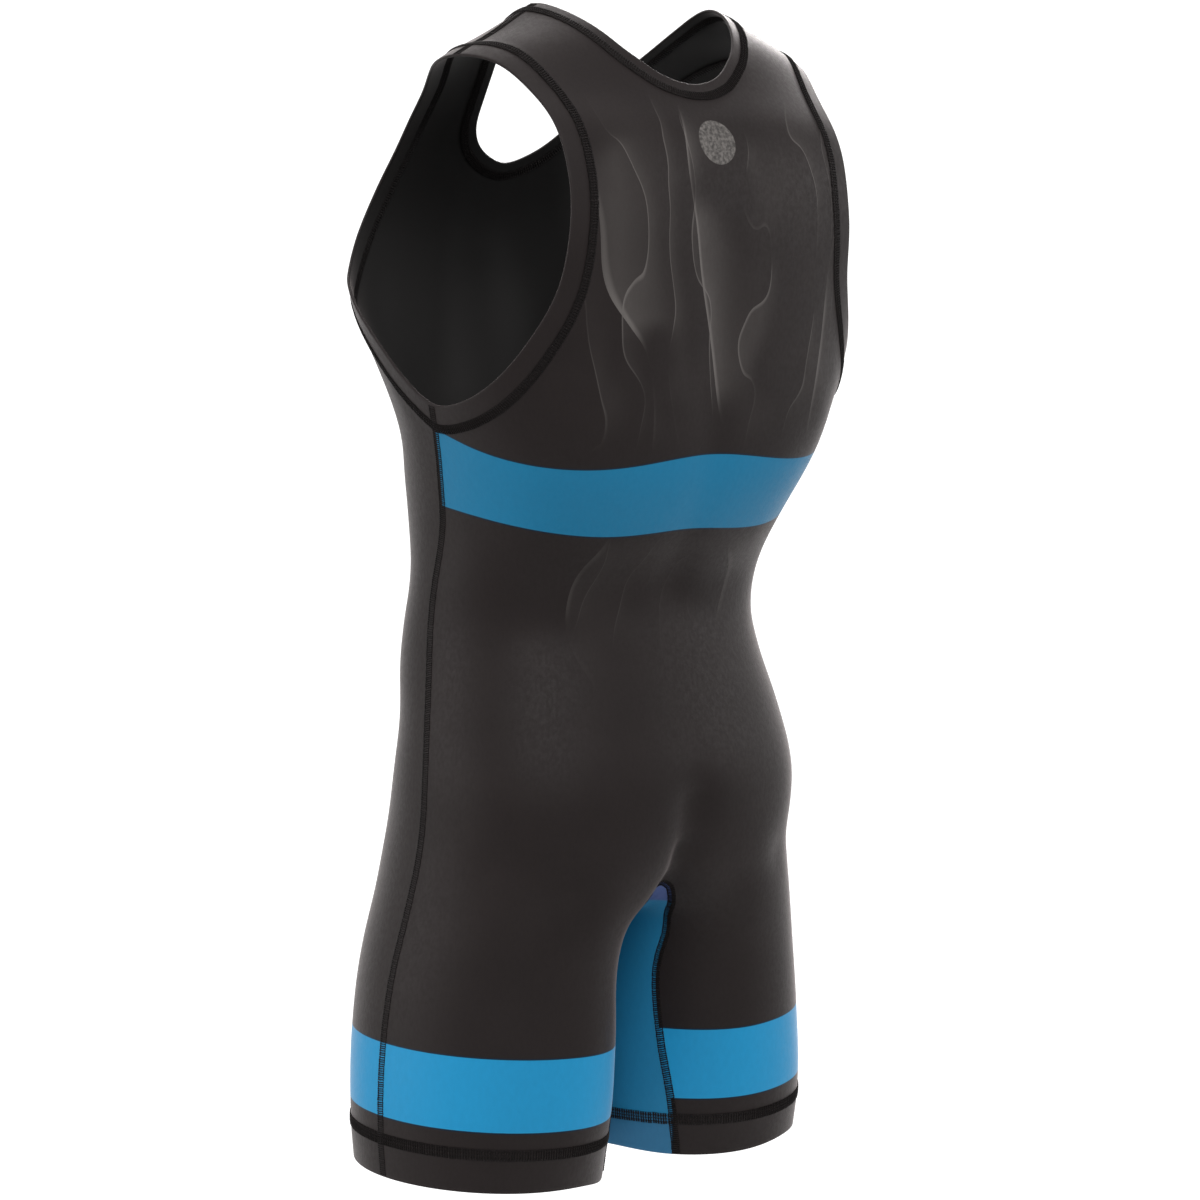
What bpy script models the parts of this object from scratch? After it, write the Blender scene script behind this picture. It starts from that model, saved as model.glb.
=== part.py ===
"""Wrestling singlet, hollow and open, held in the shape it has when worn.

The cloth lies on one smooth form.  A short table of levels gives the form's
sections from the shoulders to the hems; the pieces are cut from it along an
armhole, a neck line, side and shoulder seams and the seams of the inner-leg
gusset, and each piece is a closed wall of even thickness.

The origin is on the shoulder line, midway between the straps.  +Z is up,
the wearer's left is +X and the back is +Y.  Tables are in millimetres.
"""
import bmesh
import bpy
import numpy as np

MM = 0.001

# ---------------------------------------------------------------- sizes, mm
SEAM_GAP = 0.3             # clear width between two neighbouring pieces
PANEL_THICKNESS = 1.6      # knitted stretch cloth, one layer
EDGE_THICKNESS = 2.4       # turned edges, two layers stitched down
ARMHOLE_EDGE = 20.0        # width of the turned armhole edge
NECK_EDGE = 14.0           # width of the turned neck edge
HEM_LEVEL = -857.0         # lower edge of the legs
HEM_MIDDLE = (95.0, -54.0) # middle of the left hem
HEM_SLANT = (0.035, -0.02) # rise for each mm outwards and backwards
HEM_DEPTH = 31.0           # width of the turned leg hem
CROTCH_LEVEL = -670.0      # lowest point of the saddle between the legs
CLEFT_HEIGHT = 45.0        # how fast the saddle closes above that point
CLEFT_ROUNDING = 9.0       # softness of the fold on the centre line
CLEFT_SHARPEST = 0.3       # softness left where the fold is deepest
CLEFT_FADE = (150.0, 20.0) # height above the crotch where the fold starts
ARCH_DROP = 4.0            # drop below the crotch where the legs are fully apart

# One row for each level of the form.  back and front are depths from side_y,
# square is the exponent of the outline (2 is an ellipse), lobe is the middle
# of each buttock or leg, gap is half the space between the legs.
LEVELS = np.array([
    # level half_width side_y back front back_sq front_sq lobe gap
    (7, 58, 0, 14, 14, 2.0, 2.0, 0, 6),
    (-2, 82, 0, 28, 28, 2.0, 2.0, 0, 6),
    (-16, 113, 0, 48, 44, 2.0, 2.0, 0, 6),
    (-37, 156, 0, 64, 67, 2.1, 2.1, 0, 6),
    (-60, 177, -3, 80, 88, 2.35, 2.2, 0, 6),
    (-100, 194, -8, 110, 122, 2.9, 2.4, 0, 6),
    (-150, 203, -12, 122, 142, 3.2, 2.6, 0, 6),
    (-200, 199, -14, 124, 147, 2.85, 2.55, 0, 6),
    (-250, 184, -13, 119, 142, 2.9, 2.45, 0, 6),
    (-300, 166, -12, 113, 133, 3.1, 2.15, 0, 6),
    (-340, 153, -22, 115, 124, 2.8, 2.25, 0, 6),
    (-380, 142, -34, 108, 113, 2.5, 2.3, 0, 6),
    (-420, 141, -45, 95, 102, 2.3, 2.1, 0, 6),
    (-450, 141, -50, 99, 99, 2.2, 2.25, 0, 6),
    (-480, 144, -48, 107, 102, 2.2, 2.35, 0, 6),
    (-520, 153, -39, 111, 112, 2.2, 2.1, 2, 6),
    (-560, 159, -34, 115, 117, 2.2, 2.15, 12, 6),
    (-600, 159, -38, 116, 117, 2.2, 2.15, 32, 6),
    (-630, 162, -42, 114, 115, 2.1, 2.1, 50, 6),
    (-655, 166, -46, 113, 113, 2.0, 2.0, 64, 6),
    (-670, 169, -48, 112, 112, 2.0, 2.0, 70, 6),
    (-700, 176, -51, 109, 110, 2.0, 2.0, 78, 6),
    (-760, 184, -54, 111, 110, 2.0, 2.0, 81, 6),
    (-820, 187, -53, 106, 106, 2.0, 2.0, 88, 6),
    (-860, 184, -54, 98, 98, 2.0, 2.0, 96, 9),
    (-880, 183, -54, 95, 95, 2.0, 2.0, 98, 10),
], dtype=float)

# Cut edge of the armhole, once round it.  reach is the distance along the
# cloth from the side or shoulder line: positive on the back, else the front.
ARMHOLE = np.array([
    # level reach
    (-37, 0), (-41, 28), (-60, 72), (-98, 123), (-148, 146), (-197, 135),
    (-239, 102), (-273, 60), (-286, 20), (-284, -3), (-274, -16),
    (-251, -36), (-227, -60), (-205, -95), (-182, -127), (-146, -149),
    (-110, -143), (-74, -106), (-52, -62), (-42, -28),
], dtype=float)

# Cut edge of the neck from the centre front over the shoulder to the centre
# back.  side is -1 on the front, 0 on the shoulder line, 1 on the back.
NECK = np.array([
    # level half_width side
    (-115, 0, -1), (-108, 22, -1), (-92, 41, -1), (-72, 52, -1), (-50, 62, -1),
    (-25, 75, -1), (-14, 79, -1), (-7, 81, -1), (-2, 82, 0), (-6, 78, 1),
    (-13, 71, 1), (-23, 62, 1), (-33, 54, 1), (-42, 43, 1), (-51, 31, 1),
    (-58, 15, 1), (-60, 0, 1),
], dtype=float)

# Seams of the inner-leg gusset from the centre line down to the hem.
GUSSET_BACK = np.array([
    # level y
    (-652, 47), (-654, 43), (-670, 31), (-689, 21), (-711, 13), (-736, 12),
    (-762, 14), (-787, 17), (-812, 20), (-838, 19), (-870, 17),
], dtype=float)
GUSSET_FRONT = np.array([
    # level y
    (-652, -139), (-654, -137), (-670, -125), (-689, -119), (-711, -116),
    (-736, -117), (-762, -121), (-787, -123), (-812, -125), (-838, -124), (-870, -122),
], dtype=float)
GUSSET_CORNER = 9.0        # half the short seam across the top of the gusset

# ------------------------------------------------------------- grid counts
OUTLINE_POINTS = 900       # on each half section, before it is resampled
OUTLINE_TURN = np.pi * 0.75     # where a half section has become an ellipse
SEARCH_POINTS = 400        # tried when a place is looked up on one level
PATH_POINTS = 1600         # on a smooth path along a cut edge
LINE_POINTS = 200          # on a straight line between two places
FORM_ROWS = 500            # levels of the fine form
FORM_STEP = 1.5            # spacing of the points round each level
CROTCH_ROWS = 120          # extra levels above and below the crotch
CROTCH_ZONE = 40.0         # how far they reach
CROTCH_NEAREST = 0.03      # share of their spread left out next to the crotch
INSET_STEP = 3.0           # longest move of a cut edge in one step
SIDE_COLUMNS = 4           # columns under the armhole
STRAP_COLUMNS = 4          # columns that run up into the strap
CENTRE_COLUMNS = 5         # columns under the neck
COLUMNS = SIDE_COLUMNS + STRAP_COLUMNS + CENTRE_COLUMNS
LEG_ROWS = 10              # hem to crotch
TRUNK_ROWS = 18            # crotch to armhole corner
BACK_YOKE_ROWS = (12, 4)   # armhole corner to neck corner, then to shoulder
FRONT_YOKE_ROWS = (8, 8)
BACK_CORNERS = (88.0, 62.0)     # side seam to armhole corner, centre to neck corner
FRONT_CORNERS = (128.0, 84.0)
SIDE_KNEE = -655.0         # level of the side seam beside the gusset top
GUSSET_COLUMNS = (5, 4)    # behind and before the innermost line
GUSSET_TOP_ROWS = 3        # rows in the short seam across the gusset top
GUSSET_FIRST_DROP = 7.0    # drop from the crotch to the first full row
BAND_COLUMNS = 2           # columns across a turned edge
RELAX_STEPS = 400          # rounds of evening out a grid
RELAX_LIMIT = 2.0          # longest move in one step
EVENNESS = (2.0, 3.0, 0.7) # of the side, strap and centre columns
SHARP_ANGLE = 0.7          # radians

# --------------------------------------------------------------- materials
COLOURS = {
    "black_cloth": (0.022, 0.019, 0.020, 1.0),
    "blue_cloth": (0.020, 0.150, 0.330, 1.0),
    "edge_cloth": (0.030, 0.027, 0.028, 1.0),
}


def clear_scene():
    for item in list(bpy.data.objects):
        bpy.data.objects.remove(item, do_unlink=True)


def fade(start, end, value):
    """Smooth step from 0 at start to 1 at end."""
    part = np.clip((value - start) / (end - start), 0.0, 1.0)
    return part * part * (3.0 - 2.0 * part)


def chord_length(points):
    steps = np.sqrt((np.diff(points, axis=0) ** 2).sum(axis=1))
    return np.concatenate([[0.0], np.cumsum(steps)])


def spline(knots, values, where):
    """Smooth curve through the rows of values at uneven knots."""
    span = np.diff(knots)[:, None]
    slope = np.diff(values, axis=0) / span
    tangent = np.empty_like(values)
    tangent[0] = slope[0]
    tangent[-1] = slope[-1]
    tangent[1:-1] = (slope[:-1] * span[1:] + slope[1:] * span[:-1]) / (span[1:] + span[:-1])
    where = np.clip(where, knots[0], knots[-1])
    cell = np.clip(np.searchsorted(knots, where, side="right") - 1, 0, len(knots) - 2)
    width = span[cell]
    part = ((where - knots[cell]) / width[:, 0])[:, None]
    start = (1 + 2 * part) * (1 - part) ** 2 * values[cell]
    leave = part * (1 - part) ** 2 * width * tangent[cell]
    end = part ** 2 * (3 - 2 * part) * values[cell + 1]
    arrive = part ** 2 * (part - 1) * width * tangent[cell + 1]
    return start + leave + end + arrive


def smooth_path(rows, count, closed=False):
    """Fine path through the rows of a table."""
    if closed:
        rows = np.concatenate([rows[-3:], rows, rows[:4]])
    knots = chord_length(rows)
    first, last = (knots[3], knots[-4]) if closed else (knots[0], knots[-1])
    return spline(knots, rows, np.linspace(first, last, count))


def half_section(row, back):
    """Outline of one level from the side to the centre line or inner leg."""
    level, half_width, side_y, back_depth, front_depth, back_sq, front_sq, lobe, gap = row
    depth, square = (back_depth, back_sq) if back else (front_depth, front_sq)
    above = level - CROTCH_LEVEL
    rounding = max(CLEFT_ROUNDING * fade(*CLEFT_FADE, above), CLEFT_SHARPEST)
    if above > 0:
        inner = rounding - (lobe + 1.0) * (np.exp(above / CLEFT_HEIGHT) - 1.0)
    else:
        apart = 1.0 - min(-above / ARCH_DROP, 1.0)
        inner = np.hypot(rounding, gap * np.sqrt(1.0 - apart * apart))
    angle = np.linspace(0.0, np.pi, OUTLINE_POINTS)
    outer = np.cos(angle) >= 0
    power = 2.0 / square + (1.0 - 2.0 / square) * fade(np.pi / 2, OUTLINE_TURN, angle)
    spread = np.abs(np.cos(angle))
    x = np.where(outer, lobe + (half_width - lobe) * spread ** power, lobe - (lobe - inner) * spread)
    y = depth * np.abs(np.sin(angle)) ** power
    if above > 0:
        end = int(np.argmax(x <= rounding))
        part = (x[end - 1] - rounding) / (x[end - 1] - x[end])
        x = np.append(x[:end], rounding)
        y = np.append(y[:end], y[end - 1] + (y[end] - y[end - 1]) * part)
    x = np.sqrt(np.maximum(x * x - rounding * rounding, 0.0))
    return np.stack([x, side_y + y if back else side_y - y], axis=1)


def resampled(outline, lengths):
    run = chord_length(outline)
    return np.stack([np.interp(lengths, run, outline[:, i]) for i in (0, 1)], axis=1)


class Form:
    """The smooth surface of the left half that every piece is cut from.

    A place on it is (reach, along).  reach is the distance round the form
    from the side and shoulder line, positive on the back and negative on
    the front; along runs down the table of levels.
    """

    def __init__(self):
        knots = chord_length(LEVELS[:, [0, 1, 3]])
        even = np.linspace(0.0, knots[-1], FORM_ROWS)
        self.crotch = knots[list(LEVELS[:, 0]).index(CROTCH_LEVEL)]
        close = np.linspace(CROTCH_NEAREST, 1.0, CROTCH_ROWS) ** 2 * CROTCH_ZONE
        self.along = np.unique(np.concatenate([
            even, [self.crotch], self.crotch - close, self.crotch + close]))
        rows = spline(knots, LEVELS, self.along)
        self.levels = rows[:, 0]
        fronts = [half_section(row, False) for row in rows]
        backs = [half_section(row, True) for row in rows]
        self.ends = {-1: np.array([chord_length(item)[-1] for item in fronts]),
                     1: np.array([chord_length(item)[-1] for item in backs])}
        count = int(max(self.ends[-1].max(), self.ends[1].max()) / FORM_STEP) + 3
        self.reaches = np.arange(-count, count + 1) * FORM_STEP
        self.grid = np.array([self._ring(*item) for item in zip(self.levels, fronts, backs)])
        around = np.gradient(self.grid, self.reaches, axis=1)
        down = np.gradient(self.grid, self.along, axis=0)
        normals = np.cross(down, around)
        self.normals = normals / np.maximum(np.linalg.norm(normals, axis=2, keepdims=True), 1e-9)

    def _ring(self, level, front, back):
        """One level, carried on past the centre line or the inner leg."""
        flip = np.array([-1.0, 1.0])
        past_front, past_back = (front * flip, back * flip) if level > CROTCH_LEVEL else (back, front)
        zero = len(self.reaches) // 2
        lengths = self.reaches[zero:]
        after = resampled(np.concatenate([back, past_back[-2::-1]]), lengths)
        before = resampled(np.concatenate([front, past_front[-2::-1]]), lengths)
        ring = np.concatenate([before[:0:-1], after])
        return np.concatenate([ring, np.full((len(ring), 1), level)], axis=1)

    def _sample(self, table, reach, along):
        column = np.asarray(reach, float) / FORM_STEP + len(self.reaches) // 2
        along = np.asarray(along, float)
        c0 = np.clip(np.floor(column).astype(int), 0, table.shape[1] - 2)
        r0 = np.clip(np.searchsorted(self.along, along, side="right") - 1, 0, len(self.along) - 2)
        c = (column - c0)[..., None]
        r = ((along - self.along[r0]) / (self.along[r0 + 1] - self.along[r0]))[..., None]
        upper = table[r0, c0] * (1 - c) + table[r0, c0 + 1] * c
        lower = table[r0 + 1, c0] * (1 - c) + table[r0 + 1, c0 + 1] * c
        return upper * (1 - r) + lower * r

    def at(self, reach, along):
        return self._sample(self.grid, reach, along)

    def normal(self, reach, along):
        normal = self._sample(self.normals, reach, along)
        return normal / np.linalg.norm(normal, axis=-1, keepdims=True)

    def along_of(self, level):
        return np.interp(-np.asarray(level, float), -self.levels, self.along)

    def level_cut(self, reach, level):
        """Place along of a slanting cut round the left leg."""
        along = self.along_of(level + 0.0 * np.asarray(reach))
        for _ in range(3):
            out = self.at(reach, along)[..., :2] - HEM_MIDDLE
            along = self.along_of(level + out @ np.array(HEM_SLANT))
        return along

    def end(self, along, side):
        """Reach of the centre line or of the innermost line of the leg."""
        return side * np.interp(along, self.along, self.ends[side])

    def reach_of_width(self, half_width, along, side):
        if side == 0:
            return 0.0
        reach = np.linspace(0.0, self.end(along, side), SEARCH_POINTS)
        points = self.at(reach, np.full(SEARCH_POINTS, along))
        return np.interp(-half_width, -points[:, 0], reach)

    def reach_of_depth(self, y, along, side):
        reach = np.linspace(0.0, self.end(along, side), SEARCH_POINTS)
        points = self.at(reach, np.full(SEARCH_POINTS, along))
        start = int(np.argmax(points[:, 1] * side))
        return np.interp(-y * side, -points[start:, 1] * side, reach[start:])


def steps_on_form(form, reach, along, move):
    """Turn short moves in space into moves in (reach, along)."""
    near = 1.0
    across = (form.at(reach + near, along) - form.at(reach - near, along)) / (2 * near)
    down = (form.at(reach, along + near) - form.at(reach, along - near)) / (2 * near)
    rr = (across * across).sum(-1)
    aa = (down * down).sum(-1)
    ra = (across * down).sum(-1)
    mr = (across * move).sum(-1)
    ma = (down * move).sum(-1)
    scale = rr * aa - ra * ra
    return (mr * aa - ma * ra) / scale, (ma * rr - mr * ra) / scale


def inset(form, reach, along, distance, closed):
    """Move a cut edge sideways on the form, to the left of its direction.

    Points on the side and shoulder line, and the ends of an open edge, stay
    on their lines.
    """
    reach, along = reach.copy(), along.copy()
    line = reach == 0
    count = max(int(np.ceil(abs(distance) / INSET_STEP)), 1)
    for _ in range(count):
        points = form.at(reach, along)
        if closed:
            tangent = np.roll(points, -1, axis=0) - np.roll(points, 1, axis=0)
        else:
            tangent = np.gradient(points, axis=0)
            tangent[[0, -1], 1:] = 0.0
        side = np.cross(form.normal(reach, along), tangent)
        side /= np.linalg.norm(side, axis=1, keepdims=True)
        down = form.at(reach, along + 1.0) - form.at(reach, along - 1.0)
        lean = (side * down).sum(-1) / (down * down).sum(-1)
        side[line] = (down * (1.0 / (down * down).sum(-1) / lean)[:, None])[line]
        dr, da = steps_on_form(form, reach, along, side * distance / count)
        dr[line] = 0.0
        reach += dr
        along += da
        if not closed:
            reach[0], reach[-1] = form.end(along[0], -1), form.end(along[-1], 1)
    return reach, along


def at_lengths(form, path, lengths):
    """Places on a fine (reach, along) path at the given lengths."""
    run = chord_length(form.at(path[:, 0], path[:, 1]))
    lengths = np.asarray(lengths, float)
    return np.interp(lengths, run, path[:, 0]), np.interp(lengths, run, path[:, 1])


def path_length(form, path):
    return chord_length(form.at(path[:, 0], path[:, 1]))[-1]


def armhole_edge(form):
    """Armhole places once round: shoulder, back, side seam, front."""
    fine = smooth_path(ARMHOLE, PATH_POINTS, closed=True)
    along = form.along_of(fine[:, 0])
    upper = fine[:, 0] > ARMHOLE[:, 0].mean()
    start = int(np.argmin(np.where(upper, np.abs(fine[:, 1]), np.inf)))
    path = np.roll(np.stack([fine[:, 1], along], axis=1), -start, axis=0)
    path = np.concatenate([path, path[:1]])
    path[[0, -1], 0] = 0.0
    half = len(path) // 3
    low = half + int(np.argmax(path[half:, 0] < 0))
    path[low, 0] = 0.0
    back, front = path[:low + 1], path[low:][::-1]
    samples = []
    sides = ((back, BACK_YOKE_ROWS, BACK_CORNERS), (front, FRONT_YOKE_ROWS, FRONT_CORNERS))
    for part, yoke, corners in sides:
        total = path_length(form, part)
        corner = total - corners[0]
        high = np.linspace(0.0, corner, sum(yoke) + 1)
        low = np.linspace(corner, total, SIDE_COLUMNS + 1)[1:]
        samples.append(np.stack(at_lengths(form, part, np.concatenate([high, low])), axis=1))
    loop = np.concatenate([samples[0], samples[1][-2:0:-1]])
    return loop[:, 0], loop[:, 1], len(samples[0])


def neck_edge(form):
    """Neck places from the centre front over the shoulder to the back."""
    rows = []
    for level, half_width, side in NECK:
        along = float(form.along_of(level))
        rows.append((form.reach_of_width(half_width, along, side), along))
    fine = smooth_path(np.array(rows), PATH_POINTS)
    fine[0, 0], fine[-1, 0] = form.end(fine[0, 1], -1), form.end(fine[-1, 1], 1)
    top = int(np.argmax(fine[:, 0] >= 0))
    fine[top, 0] = 0.0
    front, back = fine[:top + 1], fine[top:][::-1]
    samples = []
    sides = ((back, BACK_YOKE_ROWS, BACK_CORNERS), (front, FRONT_YOKE_ROWS, FRONT_CORNERS))
    for part, yoke, corners in sides:
        total = path_length(form, part)
        low = np.linspace(0.0, corners[1], CENTRE_COLUMNS + 1)
        high = np.linspace(corners[1], total, yoke[1] + 1)[1:]
        samples.append(np.stack(at_lengths(form, part, np.concatenate([low, high])), axis=1))
    path = np.concatenate([samples[1], samples[0][-2::-1]])
    return path[:, 0], path[:, 1], len(samples[1])


def gusset_seam(form, table, side):
    """Seam places from the centre line to the top of the hem."""
    top = float(form.along_of(table[0, 0]))
    rows = [(form.end(top, side), top)]
    for level, y in table[1:]:
        along = float(form.along_of(level))
        rows.append((form.reach_of_depth(y, along, side), along))
    fine = smooth_path(np.array(rows), PATH_POINTS)
    stop = int(np.argmax(fine[:, 1] >= form.level_cut(fine[:, 0], HEM_LEVEL + HEM_DEPTH)))
    fine = fine[:stop + 1]
    total = path_length(form, fine)
    lengths = np.concatenate([[0.0], np.linspace(GUSSET_CORNER, total, LEG_ROWS + 1)])
    return at_lengths(form, fine, lengths)


def offset_seam(form, reach, along, distance, side):
    """Move an open seam sideways, keeping full width round its corners."""
    points = form.at(reach, along)
    step = np.diff(points, axis=0)
    step /= np.linalg.norm(step, axis=1, keepdims=True)
    tangent = np.concatenate([step[:1], step[:-1] + step[1:], step[-1:]])
    tangent[0, 1:] = 0.0
    tangent /= np.linalg.norm(tangent, axis=1, keepdims=True)
    turn = np.concatenate([[1.0], (tangent[1:-1] * step[1:]).sum(axis=1), [1.0]])
    left = np.cross(form.normal(reach, along), tangent)
    left /= np.linalg.norm(left, axis=1, keepdims=True)
    dr, da = steps_on_form(form, reach, along, left * (distance / turn)[:, None])
    reach, along = reach + dr, along + da
    reach[0] = form.end(along[0], side)
    along[-1] = form.level_cut(reach[-1], HEM_LEVEL + HEM_DEPTH)
    return reach, along


def filled(values, fixed, exists):
    """Fill a grid so that each free value is the mean of its neighbours."""
    free = exists & ~fixed
    index = np.full(values.shape, -1)
    index[free] = np.arange(free.sum())
    matrix = np.eye(free.sum())
    known = np.zeros(free.sum())
    for row, column in zip(*np.nonzero(free)):
        near = [(row - 1, column), (row + 1, column), (row, column - 1), (row, column + 1)]
        here = index[row, column]
        for spot in near:
            if free[spot]:
                matrix[here, index[spot]] -= 0.25
            else:
                known[here] += values[spot] * 0.25
    values = values.copy()
    values[free] = np.linalg.solve(matrix, known)
    return values


def relaxed(form, reach, along, fixed, exists, slide, side, across):
    """Even out a grid on the form.

    slide marks the points of the centre line; across says, for each column,
    how much more even its columns are kept than its rows.
    """
    free = exists & ~fixed
    across = np.array(across)[None, :, None]
    flip = np.array([-1.0, 1.0, 1.0])
    for _ in range(RELAX_STEPS):
        points = form.at(reach, along)
        right = np.roll(points, -1, axis=1)
        right[:, -1] = points[:, -2] * flip
        beside = (np.roll(points, 1, axis=1) + right) * across
        above = np.roll(points, 1, axis=0) + np.roll(points, -1, axis=0)
        move = (beside + above) / (2.0 * across + 2.0) - points
        dr, da = steps_on_form(form, reach, along, move)
        reach[free] += np.clip(dr[free], -RELAX_LIMIT, RELAX_LIMIT)
        along[free] += np.clip(da[free], -RELAX_LIMIT, RELAX_LIMIT)
        line = along[slide]
        below = form.at(form.end(line + 0.5, side), line + 0.5)
        down = below - form.at(form.end(line - 0.5, side), line - 0.5)
        slip = (down * move[slide]).sum(axis=-1) / (down * down).sum(axis=-1)
        along[slide] = line + np.clip(slip, -RELAX_LIMIT, RELAX_LIMIT)
        reach[slide] = form.end(along[slide], side)
    return reach, along


def even_line(form, start, end, count):
    """Evenly spaced places on the straight line between two places."""
    part = np.linspace(0.0, 1.0, LINE_POINTS)[:, None]
    path = np.array(start) * (1 - part) + np.array(end) * part
    total = path_length(form, path)
    return at_lengths(form, path, np.linspace(0.0, total, count + 1))


def hem_line(form, level, start, end, count):
    """Evenly spaced places on the slanting cut at the top of the hem."""
    reach = np.linspace(start, end, LINE_POINTS)
    path = np.stack([reach, form.level_cut(reach, level)], axis=1)
    return at_lengths(form, path, np.linspace(0.0, path_length(form, path), count + 1))


def panel_places(form, side, armhole, neck, seam, yoke):
    """Grid of (reach, along) for the left half of the back or front panel.

    armhole runs from the side seam up to the shoulder, neck from the centre
    line up to the shoulder, seam from the centre line down to the hem.
    """
    top_trunk = LEG_ROWS + TRUNK_ROWS
    top_yoke = top_trunk + yoke[0]
    top = top_yoke + yoke[1]
    strap_end = SIDE_COLUMNS + STRAP_COLUMNS
    shape = (top + 1, COLUMNS + 1)
    exists = np.zeros(shape, bool)
    exists[:LEG_ROWS + 1, :COLUMNS] = True
    exists[LEG_ROWS:top_trunk + 1] = True
    exists[top_trunk:top_yoke + 1, SIDE_COLUMNS:] = True
    exists[top_yoke:, SIDE_COLUMNS:strap_end + 1] = True
    reach = np.zeros(shape)
    along = np.zeros(shape)
    fixed = np.zeros(shape, bool)

    def put(rows, columns, places):
        reach[rows, columns] = places[0]
        along[rows, columns] = places[1]
        fixed[rows, columns] = True

    knee = float(form.along_of(SIDE_KNEE))
    put(slice(top_trunk, None), SIDE_COLUMNS, [item[SIDE_COLUMNS:] for item in armhole])
    put(top_trunk, slice(0, SIDE_COLUMNS + 1), [item[:SIDE_COLUMNS + 1] for item in armhole])
    put(top_yoke, slice(strap_end, None), [item[:CENTRE_COLUMNS + 1][::-1] for item in neck])
    put(slice(top_yoke, None), strap_end, [item[CENTRE_COLUMNS:] for item in neck])
    put(slice(0, LEG_ROWS + 1), COLUMNS - 1, [item[:0:-1] for item in seam])
    put(LEG_ROWS, COLUMNS, [item[0] for item in seam])
    shoulder = even_line(form, (0, armhole[1][-1]), (0, neck[1][-1]), STRAP_COLUMNS)
    put(top, slice(SIDE_COLUMNS, strap_end + 1), shoulder)
    hem = hem_line(form, HEM_LEVEL + HEM_DEPTH, 0.0, seam[0][-1], COLUMNS - 1)
    put(0, slice(0, COLUMNS), hem)
    leg = even_line(form, (0, hem[1][0]), (0, knee), LEG_ROWS)
    put(slice(0, LEG_ROWS + 1), 0, leg)
    trunk = even_line(form, (0, knee), (0, armhole[1][0]), TRUNK_ROWS)
    put(slice(LEG_ROWS, top_trunk + 1), 0, trunk)
    slide = np.zeros(shape, bool)
    slide[LEG_ROWS + 1:top_yoke, COLUMNS] = True
    middle = even_line(form, (0, seam[1][0]), (0, neck[1][0]), TRUNK_ROWS + yoke[0])[1]
    along[LEG_ROWS:top_yoke + 1, COLUMNS] = middle
    reach[LEG_ROWS:top_yoke + 1, COLUMNS] = form.end(middle, side)
    along = filled(along, fixed | slide, exists)
    reach = filled(reach, fixed | slide, exists)
    across = np.repeat(EVENNESS, (SIDE_COLUMNS, STRAP_COLUMNS, CENTRE_COLUMNS + 1))
    reach, along = relaxed(form, reach, along, fixed | slide, exists, slide, side, across)
    reach[exists & (reach == 0)] = side * SEAM_GAP / 2
    return reach, along, exists


def gusset_places(form, back, front):
    """Two grids of (reach, along) for the left half of the gusset."""
    rows = GUSSET_TOP_ROWS + LEG_ROWS
    end = float(form.along_of(HEM_LEVEL + HEM_DEPTH))
    inner = form.end(end, 1)
    end = float(form.level_cut(inner, HEM_LEVEL + HEM_DEPTH))
    drops = np.concatenate([
        np.linspace(0.0, GUSSET_FIRST_DROP, GUSSET_TOP_ROWS + 1),
        np.linspace(GUSSET_FIRST_DROP, end - form.crotch, LEG_ROWS + 1)[1:]])
    part = np.linspace(0.0, 1.0, GUSSET_TOP_ROWS + 1)
    halves = []
    for seam, columns, side in zip((back, front), GUSSET_COLUMNS, (1, -1)):
        edge = [np.concatenate([item[0] * (1 - part) + item[1] * part, item[2:]]) for item in seam]
        shape = (rows + 1, columns + 1)
        reach = np.zeros(shape)
        along = np.zeros(shape)
        fixed = np.zeros(shape, bool)
        fixed[[0, -1]] = True
        fixed[:, [0, -1]] = True
        reach[:, 0], along[:, 0] = edge
        along[:, -1] = form.crotch + drops
        ridge = np.linspace(edge[1][0], form.crotch, LINE_POINTS)
        ridge = np.stack([form.end(ridge, side), ridge], axis=1)
        along[0] = at_lengths(form, ridge, np.linspace(0.0, path_length(form, ridge), columns + 1))[1]
        reach[0] = form.end(along[0], side)
        reach[:, -1] = form.end(along[:, -1], side)
        reach[-1], along[-1] = hem_line(
            form, HEM_LEVEL + HEM_DEPTH, edge[0][-1], reach[-1, -1], columns)
        every = np.ones(shape, bool)
        reach, along = filled(reach, fixed, every), filled(along, fixed, every)
        halves.append(relaxed(form, reach, along, fixed, every, ~every, side, np.ones(columns + 1)))
    return halves


def split(points, quad):
    """Two triangles of a quad, along its shorter diagonal."""
    a, b, c, d = quad
    if np.linalg.norm(points[a] - points[c]) <= np.linalg.norm(points[b] - points[d]):
        return [(a, b, c), (a, c, d)]
    return [(a, b, d), (b, c, d)]


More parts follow.
